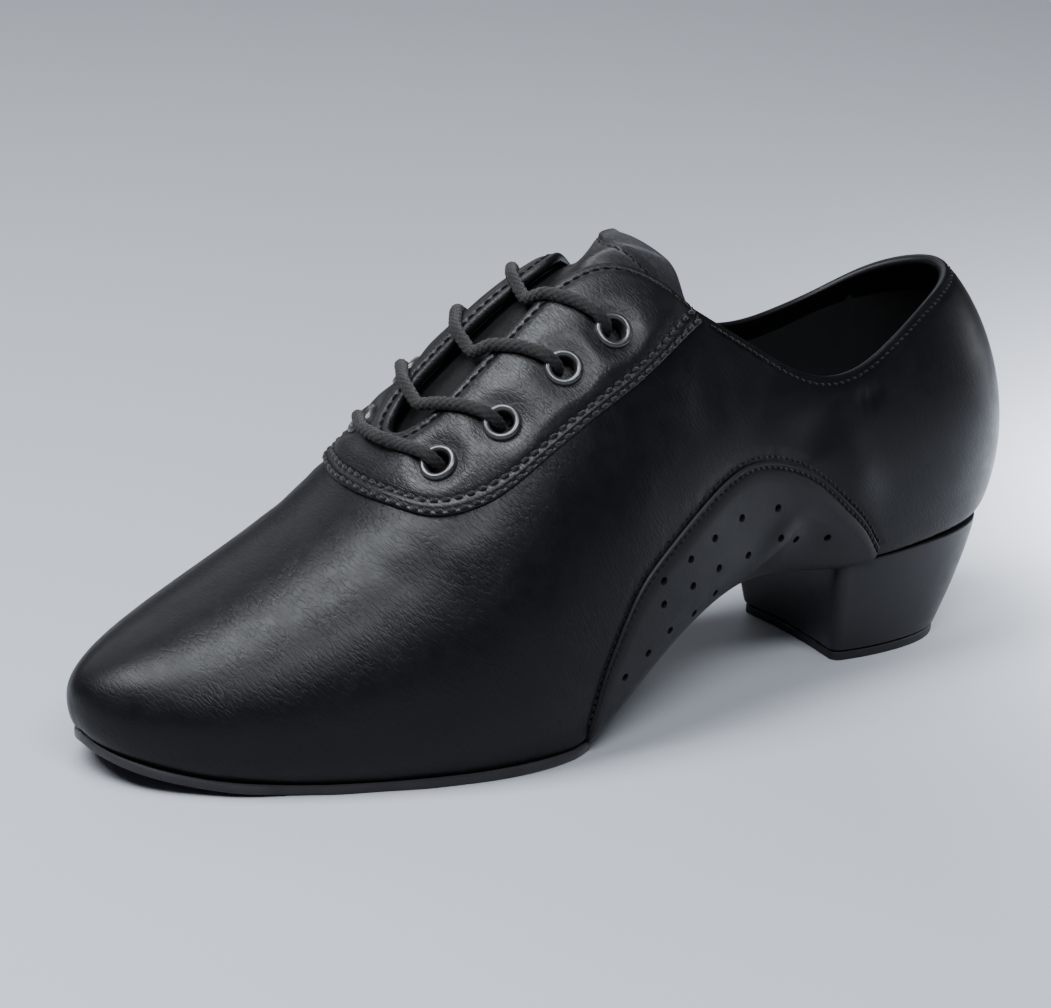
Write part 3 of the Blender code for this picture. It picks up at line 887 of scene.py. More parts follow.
@dataclass(frozen=True)
class NapFinish:
    """Suede or lining cloth: a short nap with a soft sheen."""

    name: str
    dark: tuple[float, float, float]
    light: tuple[float, float, float]
    nap_step: float = 0.5
    nap_depth: float = 0.12
    nap_detail: float = 4.0
    brush: tuple[float, float] = (2.0, 14.0)
    brush_detail: float = 3.0
    tone_step: float = 7.0
    tone_detail: float = 5.0
    roughness: float = 0.92
    specular: float = 0.25
    sheen: float = 0.2
    sheen_roughness: float = 0.45

    def material(self) -> bpy.types.Material:
        """Makes the finish as a material."""
        nodes = Nodes(self.name)
        nodes.set(Roughness=self.roughness, Specular_IOR_Level=self.specular)
        nodes.set(Sheen_Weight=self.sheen, Sheen_Roughness=self.sheen_roughness)
        nap = nodes.noise(self.nap_step, self.nap_detail)
        links = {"Vector": nodes.grain_place(*self.brush), "Scale": 1.0, "Detail": self.brush_detail}
        brushed = nodes.node("TexNoise", links).outputs["Fac"]
        nodes.colour(nodes.noise(self.tone_step, self.tone_detail), self.dark, self.light)
        nodes.relief([(brushed, self.nap_depth), (nap, self.nap_depth)])
        return nodes.material


@dataclass(frozen=True)
class ThreadFinish:
    """Twisted or braided yarn."""

    name: str
    dark: tuple[float, float, float]
    light: tuple[float, float, float]
    roughness: float = 0.55
    specular: float = 0.5
    sheen: float = 0.1
    sheen_roughness: float = 0.4
    twist: float = 0.45
    twist_stray: float = 0.6
    twist_depth: float = 0.09
    fibre_step: float = 0.16
    fibre_depth: float = 0.05
    tone_step: float = 0.5
    detail: float = 3.0

    def material(self) -> bpy.types.Material:
        """Makes the finish as a material."""
        nodes = Nodes(self.name)
        nodes.set(Roughness=self.roughness, Specular_IOR_Level=self.specular)
        nodes.set(Sheen_Weight=self.sheen, Sheen_Roughness=self.sheen_roughness)
        place = nodes.grain_place(1.0, 1.0)
        links = {"Vector": place, "Scale": 1 / self.twist, "Distortion": self.twist_stray, "Detail": 2.0}
        ply = nodes.node("TexWave", links, bands_direction="DIAGONAL").outputs["Fac"]
        fibre = nodes.noise(self.fibre_step, self.detail)
        nodes.colour(nodes.noise(self.tone_step, self.detail), self.dark, self.light)
        nodes.relief([(ply, self.twist_depth), (fibre, self.fibre_depth)])
        return nodes.material


@dataclass(frozen=True)
class EnamelFinish:
    """Gloss black enamel on the eyelets."""

    name: str = "eyelet_gloss"
    dark: tuple[float, float, float] = (0.009, 0.009, 0.0095)
    light: tuple[float, float, float] = (0.018, 0.018, 0.019)
    coat: float = 0.35
    coat_roughness: float = 0.15
    specular: float = 0.6
    smoothest: float = 0.34
    roughest: float = 0.44
    tone_step: float = 2.0
    rub_step: float = 1.0
    rub_detail: float = 3.0
    ripple_step: float = 1.2
    ripple_depth: float = 0.02

    def material(self) -> bpy.types.Material:
        """Makes the finish as a material."""
        nodes = Nodes(self.name)
        nodes.set(
            Coat_Weight=self.coat,
            Coat_Roughness=self.coat_roughness,
            Specular_IOR_Level=self.specular,
        )
        nodes.colour(nodes.noise(self.tone_step), self.dark, self.light)
        nodes.roughness(nodes.noise(self.rub_step, self.rub_detail), self.smoothest, self.roughest)
        nodes.relief([(nodes.noise(self.ripple_step), self.ripple_depth)])
        return nodes.material


@dataclass
class Finishes:
    """All the shoe's materials."""

    leather: bpy.types.Material
    facing: bpy.types.Material
    panel: bpy.types.Material
    tongue: bpy.types.Material
    heel: bpy.types.Material
    lining: bpy.types.Material
    suede: bpy.types.Material
    tip: bpy.types.Material
    enamel: bpy.types.Material
    lace: bpy.types.Material
    thread: bpy.types.Material
    fine_thread: bpy.types.Material

    @classmethod
    def mixed(cls) -> "Finishes":
        """Makes each finish."""
        black = (0.004, 0.004, 0.004)
        pale = (0.013, 0.013, 0.015)
        dove = (0.019, 0.019, 0.0215)
        # The tongue's lightest colour, the painted highlight at its top
        painted_highlight_silver = (0.03, 0.03, 0.034)
        return cls(
            leather=LeatherFinish("vamp_leather").material(),
            facing=LeatherFinish(
                "facing_leather",
                crease_length=3.2,
                crease_spacing=0.95,
                crease_depth=0.065,
                smoothest=0.4,
                roughest=0.47,
                coat=0.02,
                specular=0.28,
            ).material(),
            panel=LeatherFinish(
                "arch_leather",
                dark=(0.0075, 0.0075, 0.0085),
                light=(0.0115, 0.0115, 0.013),
                smoothest=0.42,
                roughest=0.5,
                crease_depth=0.02,
                coat=0.0,
            ).material(),
            tongue=LeatherFinish(
                "tongue_leather_soft",
                dark=black,
                light=painted_highlight_silver,
                # Painted highlight on the tongue's top, darkening to painted shade down into the throat
                painted_highlight_spot=(-0.026, 0.01, 0.125),
                crease_length=2.6,
                crease_spacing=0.9,
                crease_depth=0.05,
            ).material(),
            heel=LeatherFinish(
                "heel_cover",
                dark=pale,
                light=dove,
                crease_depth=0.012,
                dent_depth=0.02,
            ).material(),
            lining=NapFinish(
                "lining_cloth",
                dark=(0.002, 0.002, 0.0025),
                light=(0.005, 0.005, 0.006),
                sheen=0.04,
            ).material(),
            suede=NapFinish(
                "suede_black",
                dark=(0.011, 0.011, 0.013),
                light=(0.024, 0.024, 0.027),
            ).material(),
            tip=LeatherFinish(
                "tip_rubber_smooth",
                dark=pale,
                light=dove,
                smoothest=0.48,
                roughest=0.58,
                crease_depth=0.01,
                dent_depth=0.02,
            ).material(),
            enamel=EnamelFinish().material(),
            lace=ThreadFinish(
                "lace_braid",
                dark=(0.003, 0.0027, 0.0027),
                light=(0.009, 0.008, 0.008),
                roughness=0.7,
                specular=0.3,
            ).material(),
            thread=ThreadFinish(
                "seam_thread",
                dark=(0.004, 0.004, 0.005),
                light=(0.01, 0.01, 0.011),
                roughness=0.42,
                specular=0.26,
            ).material(),
            fine_thread=ThreadFinish(
                "fine_thread",
                dark=(0.003, 0.003, 0.004),
                light=(0.008, 0.008, 0.009),
                specular=0.06,
            ).material(),
        )


@dataclass
class Stitches:
    """Rows of stitches, each a short round of thread that dips into the leather at its ends."""

    last: Last
    pitch: float
    thread: float
    fill: float = 0.8
    slant: float = 0.16
    proud: float = 0.3
    dive: float = 0.8
    sides: int = 8
    rings: tuple[float, ...] = (-1.0, -0.85, -0.5, 0.0, 0.5, 0.85, 1.0)
    dive_power: int = 4
    taper: float = 0.55
    taper_power: int = 6

    def add_row(self, work: Work, line: np.ndarray, normals: np.ndarray) -> None:
        """Sews one row.

        Args:
            work: the mesh to sew into.
            line: points along the row, on the leather.
            normals: the leather's outward direction at each.
        """
        run = run_lengths(line, 0)
        count = max(2, int(round(run[-1] / self.pitch)))
        pitch = run[-1] / count
        share = np.array(self.rings)
        at = (np.arange(count)[:, None] + 0.5 + share * self.fill / 2) * pitch
        centre = np.stack([np.interp(at, run, line[:, k]) for k in range(3)], -1)
        outward = unit(np.stack([np.interp(at, run, normals[:, k]) for k in range(3)], -1))
        along = unit(np.gradient(centre, axis=1))
        across = unit(np.cross(along, outward))
        lift = self.thread * (self.proud - self.dive * share ** self.dive_power)
        centre = centre + outward * lift[None, :, None]
        centre = centre + across * (share * self.slant * pitch * self.fill / 2)[None, :, None]
        radius = self.thread / 2 * np.sqrt(1 - self.taper * share ** self.taper_power)
        turn = np.linspace(0, 2 * np.pi, self.sides, endpoint=False)
        spoke = outward[:, :, None] * np.sin(turn)[:, None] + across[:, :, None] * np.cos(turn)[:, None]
        points = centre[:, :, None] + spoke * radius[None, :, None, None]
        for k in range(count):
            flow = np.stack(np.broadcast_arrays(turn[None] * self.thread / 2, at[k][:, None]), -1)
            work.sheet(points[k], flow, ringed=True)
            work.cap(points[k, 0])
            work.cap(points[k, -1], turned=True)

    def sew(self, name: str, rows: Sequence[Row], material: bpy.types.Material) -> None:
        """Sews several rows as one piece.

        Args:
            name: the piece's name.
            rows: the rows.
            material: the thread.
        """
        work = Work(self.last)
        for line, normals in rows:
            self.add_row(work, line, normals)
        work.piece(name, material, closed=True)


@dataclass
class Eyelets:
    """The enamelled rings in the facing."""

    last: Last
    facing_top: float = 1.62
    hole: float = 3.9
    segments: int = 48
    profile: tuple[tuple[float, float], ...] = (
        (3.15, -3.4),
        (3.15, 0.1),
        (3.23, 0.52),
        (3.46, 0.88),
        (3.8, 1.12),
        (4.2, 1.2),
        (4.6, 1.1),
        (4.94, 0.8),
        (5.14, 0.4),
        (5.2, -0.1),
        (5.1, -0.9),
    )

    def seats(self, side: Side) -> list[Row]:
        """Finds the middle of each eyelet on the last, and its outward direction.

        Args:
            side: the side of the shoe.

        Returns:
            The middle and direction of each, from the toe up.
        """
        rows = named_columns(EYELET_COLUMNS, EYELET_ROWS)
        angle = self.last.angle_of(rows["x"])
        points = self.last.point(angle, rows["rise"], side)
        return list(zip(points, self.last.normal(angle, rows["rise"], side)))

    def holes(self) -> list[Hole]:
        """The places that leather and lining leave open."""
        return [(point, self.hole) for side in Side for point, _ in self.seats(side)]

    def build(self, finishes: Finishes) -> None:
        """Turns each ring.

        Args:
            finishes: the shoe's materials.
        """
        radius, height = np.array(self.profile).T
        turn = np.linspace(0, 2 * np.pi, self.segments, endpoint=False)
        for side in Side:
            for number, (middle, outward) in enumerate(self.seats(side), 1):
                first = unit(np.cross(outward, np.array([1.0, 0.0, 0.0])))
                second = np.cross(outward, first)
                spoke = first * np.cos(turn)[:, None] + second * np.sin(turn)[:, None]
                points = middle + outward * (self.facing_top + height)[:, None, None]
                points = points + spoke[None] * radius[:, None, None]
                name = f"eyelet_{side.word}_{number}"
                work = Work(self.last)
                work.sheet(points, ringed=True)
                work.piece(name + "_ring", finishes.enamel, [name])


@dataclass
class ArchPanel:
    """The punched panel over one side of the arch."""

    last: Last
    side: Side
    height: float = 1.35
    edge_radius: float = 0.6
    edge_share: float = 0.5
    skive: float = 6.0
    steps: int = 200
    rows: int = 72
    base_turn: float = 10.0
    row_inside: float = 1.7
    row_outside: float = 1.2
    groove: float = 0.42
    groove_width: float = 0.7
    piping: float = 0.12
    piping_inside: float = 0.5
    piping_width: float = 0.4
    seat: float = 0.12
    punch: float = 1.15
    punch_sides: int = 20
    punch_depth: float = 14.0
    row_points: int = 300
    row_step: float = 0.04
    first_row: float = 0.12
    under_gap: float = 0.04
    crisp: float = 50.0

    def place(self, part: np.ndarray, across: np.ndarray) -> tuple[np.ndarray, np.ndarray]:
        """Finds a place on the panel.

        Args:
            part: share of the way along its edge, from the ball to the heel.
            across: share of the way from its base to its edge, over one past the edge.

        Returns:
            Angle along the last, and rise.
        """
        rows = named_columns(PANEL_COLUMNS, PANEL_ROWS)
        knots = np.linspace(0, 1, len(PANEL_ROWS))
        lines = []
        for end, turn in (("base", self.base_turn), ("edge", 0.0)):
            along = rows[end + "_x"]
            climb = self.last.climb_of(self.last.angle_of(along), rows[end + "_rise"] - turn)
            lines.append((Curve(knots, along)(part), Curve(knots, climb)(part)))
        (base_x, base_climb), (edge_x, edge_climb) = lines
        angle = self.last.angle_of(base_x + (edge_x - base_x) * across)
        return angle, self.last.rise_of(angle, base_climb + (edge_climb - base_climb) * across)

    def row(self, beyond: float, out: float, folds: Sequence[Fold] = ()) -> Row:
        """Finds a line along the stitched edge.

        Args:
            beyond: its distance beyond the edge, below zero on the panel.
            out: its height over the last.
            folds: the ridges and troughs that it follows.

        Returns:
            Points and normals.
        """
        part = np.linspace(0.0, 1.0, self.row_points)
        edge = self.last.point(*self.place(part, np.ones_like(part)), self.side)
        back = self.last.point(*self.place(part, np.full_like(part, 1 - self.row_step)), self.side)
        share = self.row_step / np.linalg.norm(edge - back, axis=-1)
        angle, rise = self.place(part, 1 + beyond * share)
        lift = out + lift_of(folds, self.last.point(angle, rise, self.side))
        return self.last.raised(angle, rise, self.side, lift), self.last.normal(angle, rise, self.side)

    def groove_floor(self) -> float:
        """The height over the last of the groove that the inner row lies in."""
        skived = self.edge_share + (1 - self.edge_share) * float(smooth(self.row_inside / self.skive))
        return self.seat + self.height * skived - self.groove

    def seam_troughs(self) -> list[Fold]:
        """The trough that the outer row of stitches pulls into the upper."""
        return [Fold(self.row(self.row_outside, 0.0)[0], self.groove_width, -self.groove, tapered=False)]

    def build(self, finishes: Finishes, folds: Sequence[Fold]) -> None:
        """Makes the panel, punched through.

        Args:
            finishes: the shoe's materials.
            folds: the ridges and troughs that it follows.
        """
        part = np.linspace(0, 1, self.steps + 1)[:, None]
        across = (0.5 - 0.5 * np.cos(np.pi * np.linspace(self.first_row, 1, self.rows + 1)))[None]
        across = (across - across.min()) / (1 - across.min())
        angle, rise = self.place(part, across)
        base = self.last.point(angle, rise, self.side)
        normal = self.last.normal(angle, rise, self.side)
        run = run_lengths(base, 1)
        from_edge = run[:, -1:] - run
        ends = np.minimum(run_lengths(base, 0), run_lengths(base[::-1], 0)[::-1])
        rounded = round_edge(from_edge, self.edge_radius) * round_edge(ends, self.edge_radius)
        skived = self.edge_share + (1 - self.edge_share) * smooth(from_edge / self.skive)
        lift = lift_of(folds, base)
        out = self.seat + self.height * skived * rounded + lift
        out = out - self.groove * bell(from_edge - self.row_inside, self.groove_width) * rounded
        out = out + self.piping * bell(from_edge - self.piping_inside, self.piping_width) * rounded
        flow = np.stack([run, run_lengths(base, 0)], -1)
        turned = self.side is Side.INNER
        work = Work(self.last)
        top = base + normal * out[..., None]
        under = base + normal * (self.under_gap + lift)[..., None]
        work.sheet(top, flow, turned=turned)
        work.sheet(under, flow, turned=not turned)
        for edge in (np.s_[0], np.s_[-1], np.s_[:, 0], np.s_[:, -1]):
            work.sheet(np.stack([top[edge], under[edge]]))
        name = f"arch_panel_{self.side.word}"
        self.punch_through(
            work.piece(name + "_leather", finishes.panel, [name], closed=True, crisp=self.crisp)
        )

    def punch_through(self, panel: bpy.types.Object) -> None:
        """Punches the holes.

        Args:
            panel: the panel to punch.
        """
        rows = named_columns(PUNCH_COLUMNS, PUNCH_ROWS)
        angle = self.last.angle_of(rows["x"])
        work = bmesh.new()
        centres = self.last.to_world(self.last.point(angle, rows["rise"], self.side))
        for centre, outward in zip(centres, self.last.normal(angle, rows["rise"], self.side)):
            turn = Vector(outward).to_track_quat("Z", "Y").to_matrix().to_4x4()
            bmesh.ops.create_cone(
                work,
                cap_ends=True,
                segments=self.punch_sides,
                radius1=self.punch * MM,
                radius2=self.punch * MM,
                depth=self.punch_depth * MM,
                matrix=Matrix.Translation(Vector(centre)) @ turn,
            )
        mesh = bpy.data.meshes.new("punches")
        work.to_mesh(mesh)
        work.free()
        tool = bpy.data.objects.new("punches", mesh)
        bpy.context.scene.collection.objects.link(tool)
        cut = panel.modifiers.new("punch", "BOOLEAN")
        cut.object = tool
        cut.solver = "EXACT"
        graph = bpy.context.evaluated_depsgraph_get()
        punched = bpy.data.meshes.new_from_object(panel.evaluated_get(graph))
        panel.modifiers.clear()
        panel.data = punched
        bpy.data.objects.remove(tool)


@dataclass
class Upper:
    """The vamp and quarters with their folded collar, and the lining inside."""

    last: Last
    throat_end: float = 197.0
    throat_round: float = 13.0
    wall: float = 1.7
    roll: float = 0.8
    roll_end: float = 112.0
    roll_fade: float = 12.0
    stations: int = 340
    rows: int = 84
    stitch_drop: float = 1.6
    stitch_end: float = 113.0
    stitch_groove: float = 0.4
    stitch_groove_width: float = 0.8
    back_roll: float = 0.7
    back_end: float = 40.0
    margin: float = 5.0
    tip_fade: float = 9.0
    feather_fade: float = 20.0
    wave: float = 0.16
    waves: tuple[tuple[float, float], tuple[float, float]] = ((13.0, 17.0), (31.0, -23.0))
    roll_points: int = 8
    roll_depth: float = 1.25
    lap: tuple[float, ...] = (2.0, 5.0, 8.0)
    line_points: int = 60
    row_points: int = 400
    lining_stations: int = 170
    lining_rows: int = 45
    lining_drop: float = 1.0
    lining_base: float = -88.0
    pocket_width: float = 1.2
    pocket_height: float = 0.5
    rim: dict[Side, Curve] = field(init=False)

    def __post_init__(self) -> None:
        """Reads the table of the rim."""
        rows = named_columns(RIM_COLUMNS, RIM_ROWS)
        self.rim = {side: Curve(rows["x"], rows[side.word]) for side in Side}

    def rim_rise(self, x: np.ndarray, side: Side) -> np.ndarray:
        """Finds how far up the section the upper runs: to the ridge ahead of the throat.

        Args:
            x: distances from the back of the heel.
            side: the side of the shoe.

        Returns:
            The rise of the edge, in degrees.
        """
        edge = self.rim[side](np.minimum(x, self.throat_end))
        part = np.clip((self.throat_end - np.asarray(x, float)) / self.throat_round, 0, 1)
        return self.last.ridge_rise - (self.last.ridge_rise - edge) * np.sqrt(1 - (1 - part) ** 2)

    def line(self, stops: Sequence[tuple[float, float]], side: Side) -> np.ndarray:
        """Draws a line on the last through stops.

        Args:
            stops: distance from the heel and rise of each.
            side: the side of the shoe.

        Returns:
            Points along it.
        """
        part = np.linspace(0, 1, len(stops))
        x, rise = np.array(stops).T
        climb = self.last.climb_of(self.last.angle_of(x), rise)
        x, climb = (Curve(part, values)(np.linspace(0, 1, self.line_points)) for values in (x, climb))
        angle = self.last.angle_of(x)
        return self.last.point(angle, self.last.rise_of(angle, climb), side)

    def creases(self, side: Side) -> list[Fold]:
        """The main creases of the leather on one side."""
        return [Fold(self.line(stops, side), width, height) for stops, width, height in CREASES]

    def folds(self, side: Side, seams: Sequence[Fold]) -> list[Fold]:
        """All the ridges and troughs in one side of the outer leather.

        Args:
            side: the side of the shoe.
            seams: troughs that other pieces' seams pull into the leather.

        Returns:
            The folds.
        """
        row, _ = self.collar_row(side)
        collar = Fold(row, self.stitch_groove_width, -self.stitch_groove, tapered=False)
        return [*self.creases(side), *seams, collar]

    def collar_row(self, side: Side, folds: Sequence[Fold] = ()) -> Row:
        """Finds the row of stitches below the collar's folded edge.

        Args:
            side: the side of the shoe.
            folds: the ridges and troughs that it follows.

        Returns:
            Points and normals.
        """
        angle = np.linspace(0, self.last.angle_of(self.stitch_end), self.row_points)
        rise = self.rim_rise(self.last.length_of(angle), side)
        rise = self.last.lower(angle, rise, side, self.stitch_drop)
        lift = lift_of(folds, self.last.point(angle, rise, side))
        return self.last.raised(angle, rise, side, lift), self.last.normal(angle, rise, side)

    def skin(self, work: Work, side: Side, folds: Sequence[Fold], holes: Sequence[Hole]) -> None:
        """Lays one side of the outer leather, turned in under the sole and over the collar's edge.

        Args:
            work: the mesh to lay it in.
            side: the side of the shoe.
            folds: the ridges and troughs in the leather.
            holes: the places to leave open.
        """
        angle = np.linspace(0, math.pi, self.stations + 1)[:, None]
        x = self.last.length_of(angle)
        low = self.last.feather_rise
        rise = low + (self.rim_rise(x, side) - low) * np.linspace(0, 1, self.rows + 1)
        base = self.last.point(angle, rise, side)
        normal = self.last.normal(angle, rise, side)
        wave = self.wave * np.prod([np.sin(x / a + rise / b) for a, b in self.waves], 0)
        out = (lift_of(folds, base) + wave) * smooth((rise - low) / self.feather_fade)
        out = out * smooth((self.last.length - x) / self.tip_fade)
        body = base + normal * out[..., None]
        inward = np.concatenate([self.last.plan_normal(angle[:, 0], side), np.zeros((len(angle), 1))], -1)
        margin = base[:, :1] - inward[:, None] * np.array([self.margin, self.margin / 2])[None, :, None]
        edge = body[:, -1:]
        upward = unit(base[:, -1] - base[:, -2])[:, None]
        outward = normal[:, -1:]
        size = self.roll * (1 + self.back_roll * (1 - smooth(x / self.back_end)))
        size = (size * (1 - smooth((x - self.roll_end) / self.roll_fade)))[..., None]
        turn = np.linspace(0, np.pi, self.roll_points)[1:][None, :, None]
        roll = edge + outward * size * self.roll_depth * (np.cos(turn) - 1) + upward * size * np.sin(turn)
        lap = roll[:, -1:] - upward * size * np.array(self.lap)[None, :, None]
        points = np.concatenate([margin, body, roll, lap], 1)
        run = run_lengths(points, 1)
        flow = np.stack([(run[:, -1:] - run) * side.value, np.broadcast_to(x, run.shape)], -1)
        work.sheet(points, flow, turned=side is Side.OUTER, holes=holes)

    def inside(self, work: Work, side: Side, holes: Sequence[Hole]) -> None:
        """Lays one side of the lining, with the seam of its heel pocket.

        Args:
            work: the mesh to lay it in.
            side: the side of the shoe.
            holes: the places to leave open.
        """
        angle = np.linspace(0, math.pi, self.lining_stations + 1)[:, None]
        x = self.last.length_of(angle)
        top = np.where(x < self.throat_end, self.rim_rise(x, side) - self.lining_drop, self.last.ridge_rise)
        rise = self.lining_base + (top - self.lining_base) * np.linspace(0, 1, self.lining_rows + 1)
        base = self.last.point(angle, rise, side)
        pocket = Fold(self.line(POCKET_STOPS, side), self.pocket_width, self.pocket_height, tapered=False)
        depth = self.wall + lift_of([pocket], base)
        points = base - self.last.normal(angle, rise, side) * depth[..., None]
        flow = np.stack([run_lengths(points, 1), np.broadcast_to(x, rise.shape)], -1)
        work.sheet(points, flow, turned=side is Side.INNER, holes=holes)

    def build(self, finishes: Finishes, seams: Sequence[Fold], holes: Sequence[Hole]) -> None:
        """Makes the upper, its lining and the collar's stitches.

        Args:
            finishes: the shoe's materials.
            seams: troughs that other pieces' seams pull into the leather.
            holes: the places to leave open.
        """
        skin = Work(self.last)
        lining = Work(self.last)
        rows = []
        for side in Side:
            folds = self.folds(side, seams)
            self.skin(skin, side, folds, holes)
            self.inside(lining, side, holes)
            rows.append(self.collar_row(side, folds))
        skin.piece("upper_leather", finishes.leather, ["upper"])
        lining.piece("upper_lining", finishes.lining)
        Stitches(self.last, pitch=2.2, thread=0.7).sew("collar_stitches", rows, finishes.fine_thread)


@dataclass
class LaceFacing:
    """The padded U of leather round the throat."""

    last: Last
    upper: Upper
    eyelets: Eyelets
    height: float = 1.62
    puff: float = 1.1
    recess: float = 7.2
    recess_power: float = 4.0
    dip: float = 0.4
    edge_radius: float = 0.9
    steps: int = 260
    rows: int = 76
    roll: float = 0.8
    lap: float = 6.0
    seam_rows: tuple[float, float] = (1.15, 4.2)
    seam_bead: float = 0.1
    groove: float = 0.38
    groove_width: float = 0.8
    end_fade: float = 9.0
    end_height: float = 0.45
    edge_band: float = 1.4
    edge_bead: float = 0.12
    edge_row: float = 1.8
    tack_from: int = 5
    tack_reach: float = 0.35
    tack_points: int = 20
    puff_seam: float = 3.0
    puff_seam_fade: float = 7.0
    puff_edge: float = -1.2
    puff_edge_fade: float = 6.0
    puff_start: float = 16.0
    seam_bead_width: float = 1.0
    row_start: float = 0.012
    row_points: int = 300
    row_columns: int = 120
    row_clear: float = 1.0
    roll_points: int = 10
    roll_reach: float = 0.8
    forward_rows: int = 4

    def place(self, part: np.ndarray, across: np.ndarray, side: Side) -> tuple[np.ndarray, np.ndarray]:
        """Finds a place on the facing.

        Args:
            part: share of the way along it, from its top corner to the middle of the vamp.
            across: share of the way from its seam to the throat edge.
            side: the side of the shoe.

        Returns:
            Angle along the last, and rise.
        """
        curves = row_curves(FACING_COLUMNS, FACING_ROWS)
        edge_x = curves["edge_x"](part)
        seam_rise = curves[side.word](part)
        x = curves["seam_x"](part) + (edge_x - curves["seam_x"](part)) * across
        rise = seam_rise + (self.upper.rim_rise(edge_x, side) - seam_rise) * across
        return self.last.angle_of(x), np.minimum(rise, self.last.ridge_rise)

    def heights(self, base: np.ndarray, side: Side) -> np.ndarray:
        """Works out the padding over each point.

        Args:
            base: rows of points on the last, from seam to throat edge.
            side: the side of the shoe.

        Returns:
            The height over the last at each point.
        """
        run = run_lengths(base, 1)
        from_edge = run[:, -1:] - run
        start = run_lengths(base, 0)
        rounded = round_edge(run, self.edge_radius) * round_edge(start, self.edge_radius)
        puff = smooth((run - self.puff_seam) / self.puff_seam_fade) * smooth(start / self.puff_start)
        puff = puff * smooth((from_edge - self.puff_edge) / self.puff_edge_fade)
        dip = np.zeros_like(run)
        for middle, _ in self.eyelets.seats(side):
            gap = np.linalg.norm(base - middle, axis=-1)
            sunk = np.exp(-((gap / self.recess) ** self.recess_power))
            puff = puff * (1 - sunk)
            dip = np.maximum(dip, sunk)
        rounded = rounded * (self.end_height + (1 - self.end_height) * smooth(start / self.end_fade))
        out = (self.height - self.dip * dip) * rounded + self.puff * puff
        for distance in self.seam_rows:
            out = out - self.groove * bell(run - distance, self.groove_width) * rounded
        out = out + self.seam_bead * bell(run - np.mean(self.seam_rows), self.seam_bead_width) * rounded
        out = out - self.groove * bell(from_edge - self.edge_row, self.groove_width) * rounded
        return out + self.edge_bead * smooth(1 - from_edge / self.edge_band) * rounded

    def row(self, side: Side, from_seam: bool, distance: float) -> Row:
        """Finds a row of stitches.

        Args:
            side: the side of the shoe.
            from_seam: whether the distance is from the seam, or from the throat edge.
            distance: how far in the row lies.

        Returns:
            Points and normals.
        """
        part = np.linspace(self.row_start, 1.0, self.row_points)[:, None]
        across = np.linspace(0, 1, self.row_columns)[None]
        angle, rise = self.place(part, across, side)
        base = self.last.point(angle, rise, side)
        normal = self.last.normal(angle, rise, side)
        run = run_lengths(base, 1)
        goal = np.full(len(base), distance) if from_seam else run[:, -1] - distance
        lifted = base + normal * self.heights(base, side)[..., None]
        column = np.abs(run - goal[:, None]).argmin(1)
        kept = np.arange(len(base))
        inside = (goal > self.seam_rows[1] + self.row_clear) | from_seam
        return lifted[kept, column][inside], normal[kept, column][inside]

    def tack(self, first: Row, second: Row) -> Row:
        """Finds the bar tack that ties two rows of stitches together at the top of the seam.

        Args:
            first: points and normals of one row.
            second: points and normals of the other.

        Returns:
            Points and normals.
        """
        share = np.linspace(-self.tack_reach, 1 + self.tack_reach, self.tack_points)[:, None]
        start, end = (row[0][self.tack_from] for row in (first, second))
        return start + (end - start) * share, np.repeat(first[1][self.tack_from][None], len(share), 0)

    def build(self, finishes: Finishes) -> None:
        """Makes the facing and its stitches.

        Args:
            finishes: the shoe's materials.
        """
        work = Work(self.last)
        part = np.linspace(0, 1, self.steps + 1)[:, None]
        across = (0.5 - 0.5 * np.cos(np.pi * np.linspace(0, 1, self.rows + 1)))[None]
        seam_stitches = []
        edge_stitches = []
        tacks = []
        for side in Side:
            angle, rise = self.place(part, across, side)
            base = self.last.point(angle, rise, side)
            normal = self.last.normal(angle, rise, side)
            out = self.heights(base, side)
            body = base + normal * out[..., None]
            outward = normal[:, -1:]
            forward = unit(base[:, -1] - base[:, -self.forward_rows])[:, None]
            top = out[:, -1:, None]
            size = (top + self.roll) / 2
            turn = np.linspace(0, np.pi, self.roll_points)[1:][None, :, None]
            roll = base[:, -1:] + outward * (top - size + size * np.cos(turn))
            roll = roll + forward * size * self.roll_reach * np.sin(turn)
            lap = roll[:, -1:] - forward * np.array([self.lap / 2, self.lap])[None, :, None]
            points = np.concatenate([body, roll, lap], 1)
            run = run_lengths(points, 1)
            flow = np.stack([run * side.value, run_lengths(points[:, :1], 0) + 0 * run], -1)
            work.sheet(points, flow, turned=side is Side.OUTER, holes=self.eyelets.holes())
            seam_stitches += [self.row(side, True, distance) for distance in self.seam_rows]
            edge_stitches.append(self.row(side, False, self.edge_row))
            tacks.append(self.tack(*seam_stitches[-2:]))
        work.piece("lace_facing_leather", finishes.facing, ["lace_facing"])
        stitches = Stitches(self.last, pitch=3.4, thread=1.2, fill=0.74)
        stitches.sew("facing_seam_stitches", seam_stitches, finishes.thread)
        stitches = Stitches(self.last, pitch=1.3, thread=0.75, slant=1.6)
        stitches.sew("facing_tack_stitches", tacks, finishes.thread)
        stitches = Stitches(self.last, pitch=3.0, thread=0.75)
        stitches.sew("throat_stitches", edge_stitches, finishes.fine_thread)


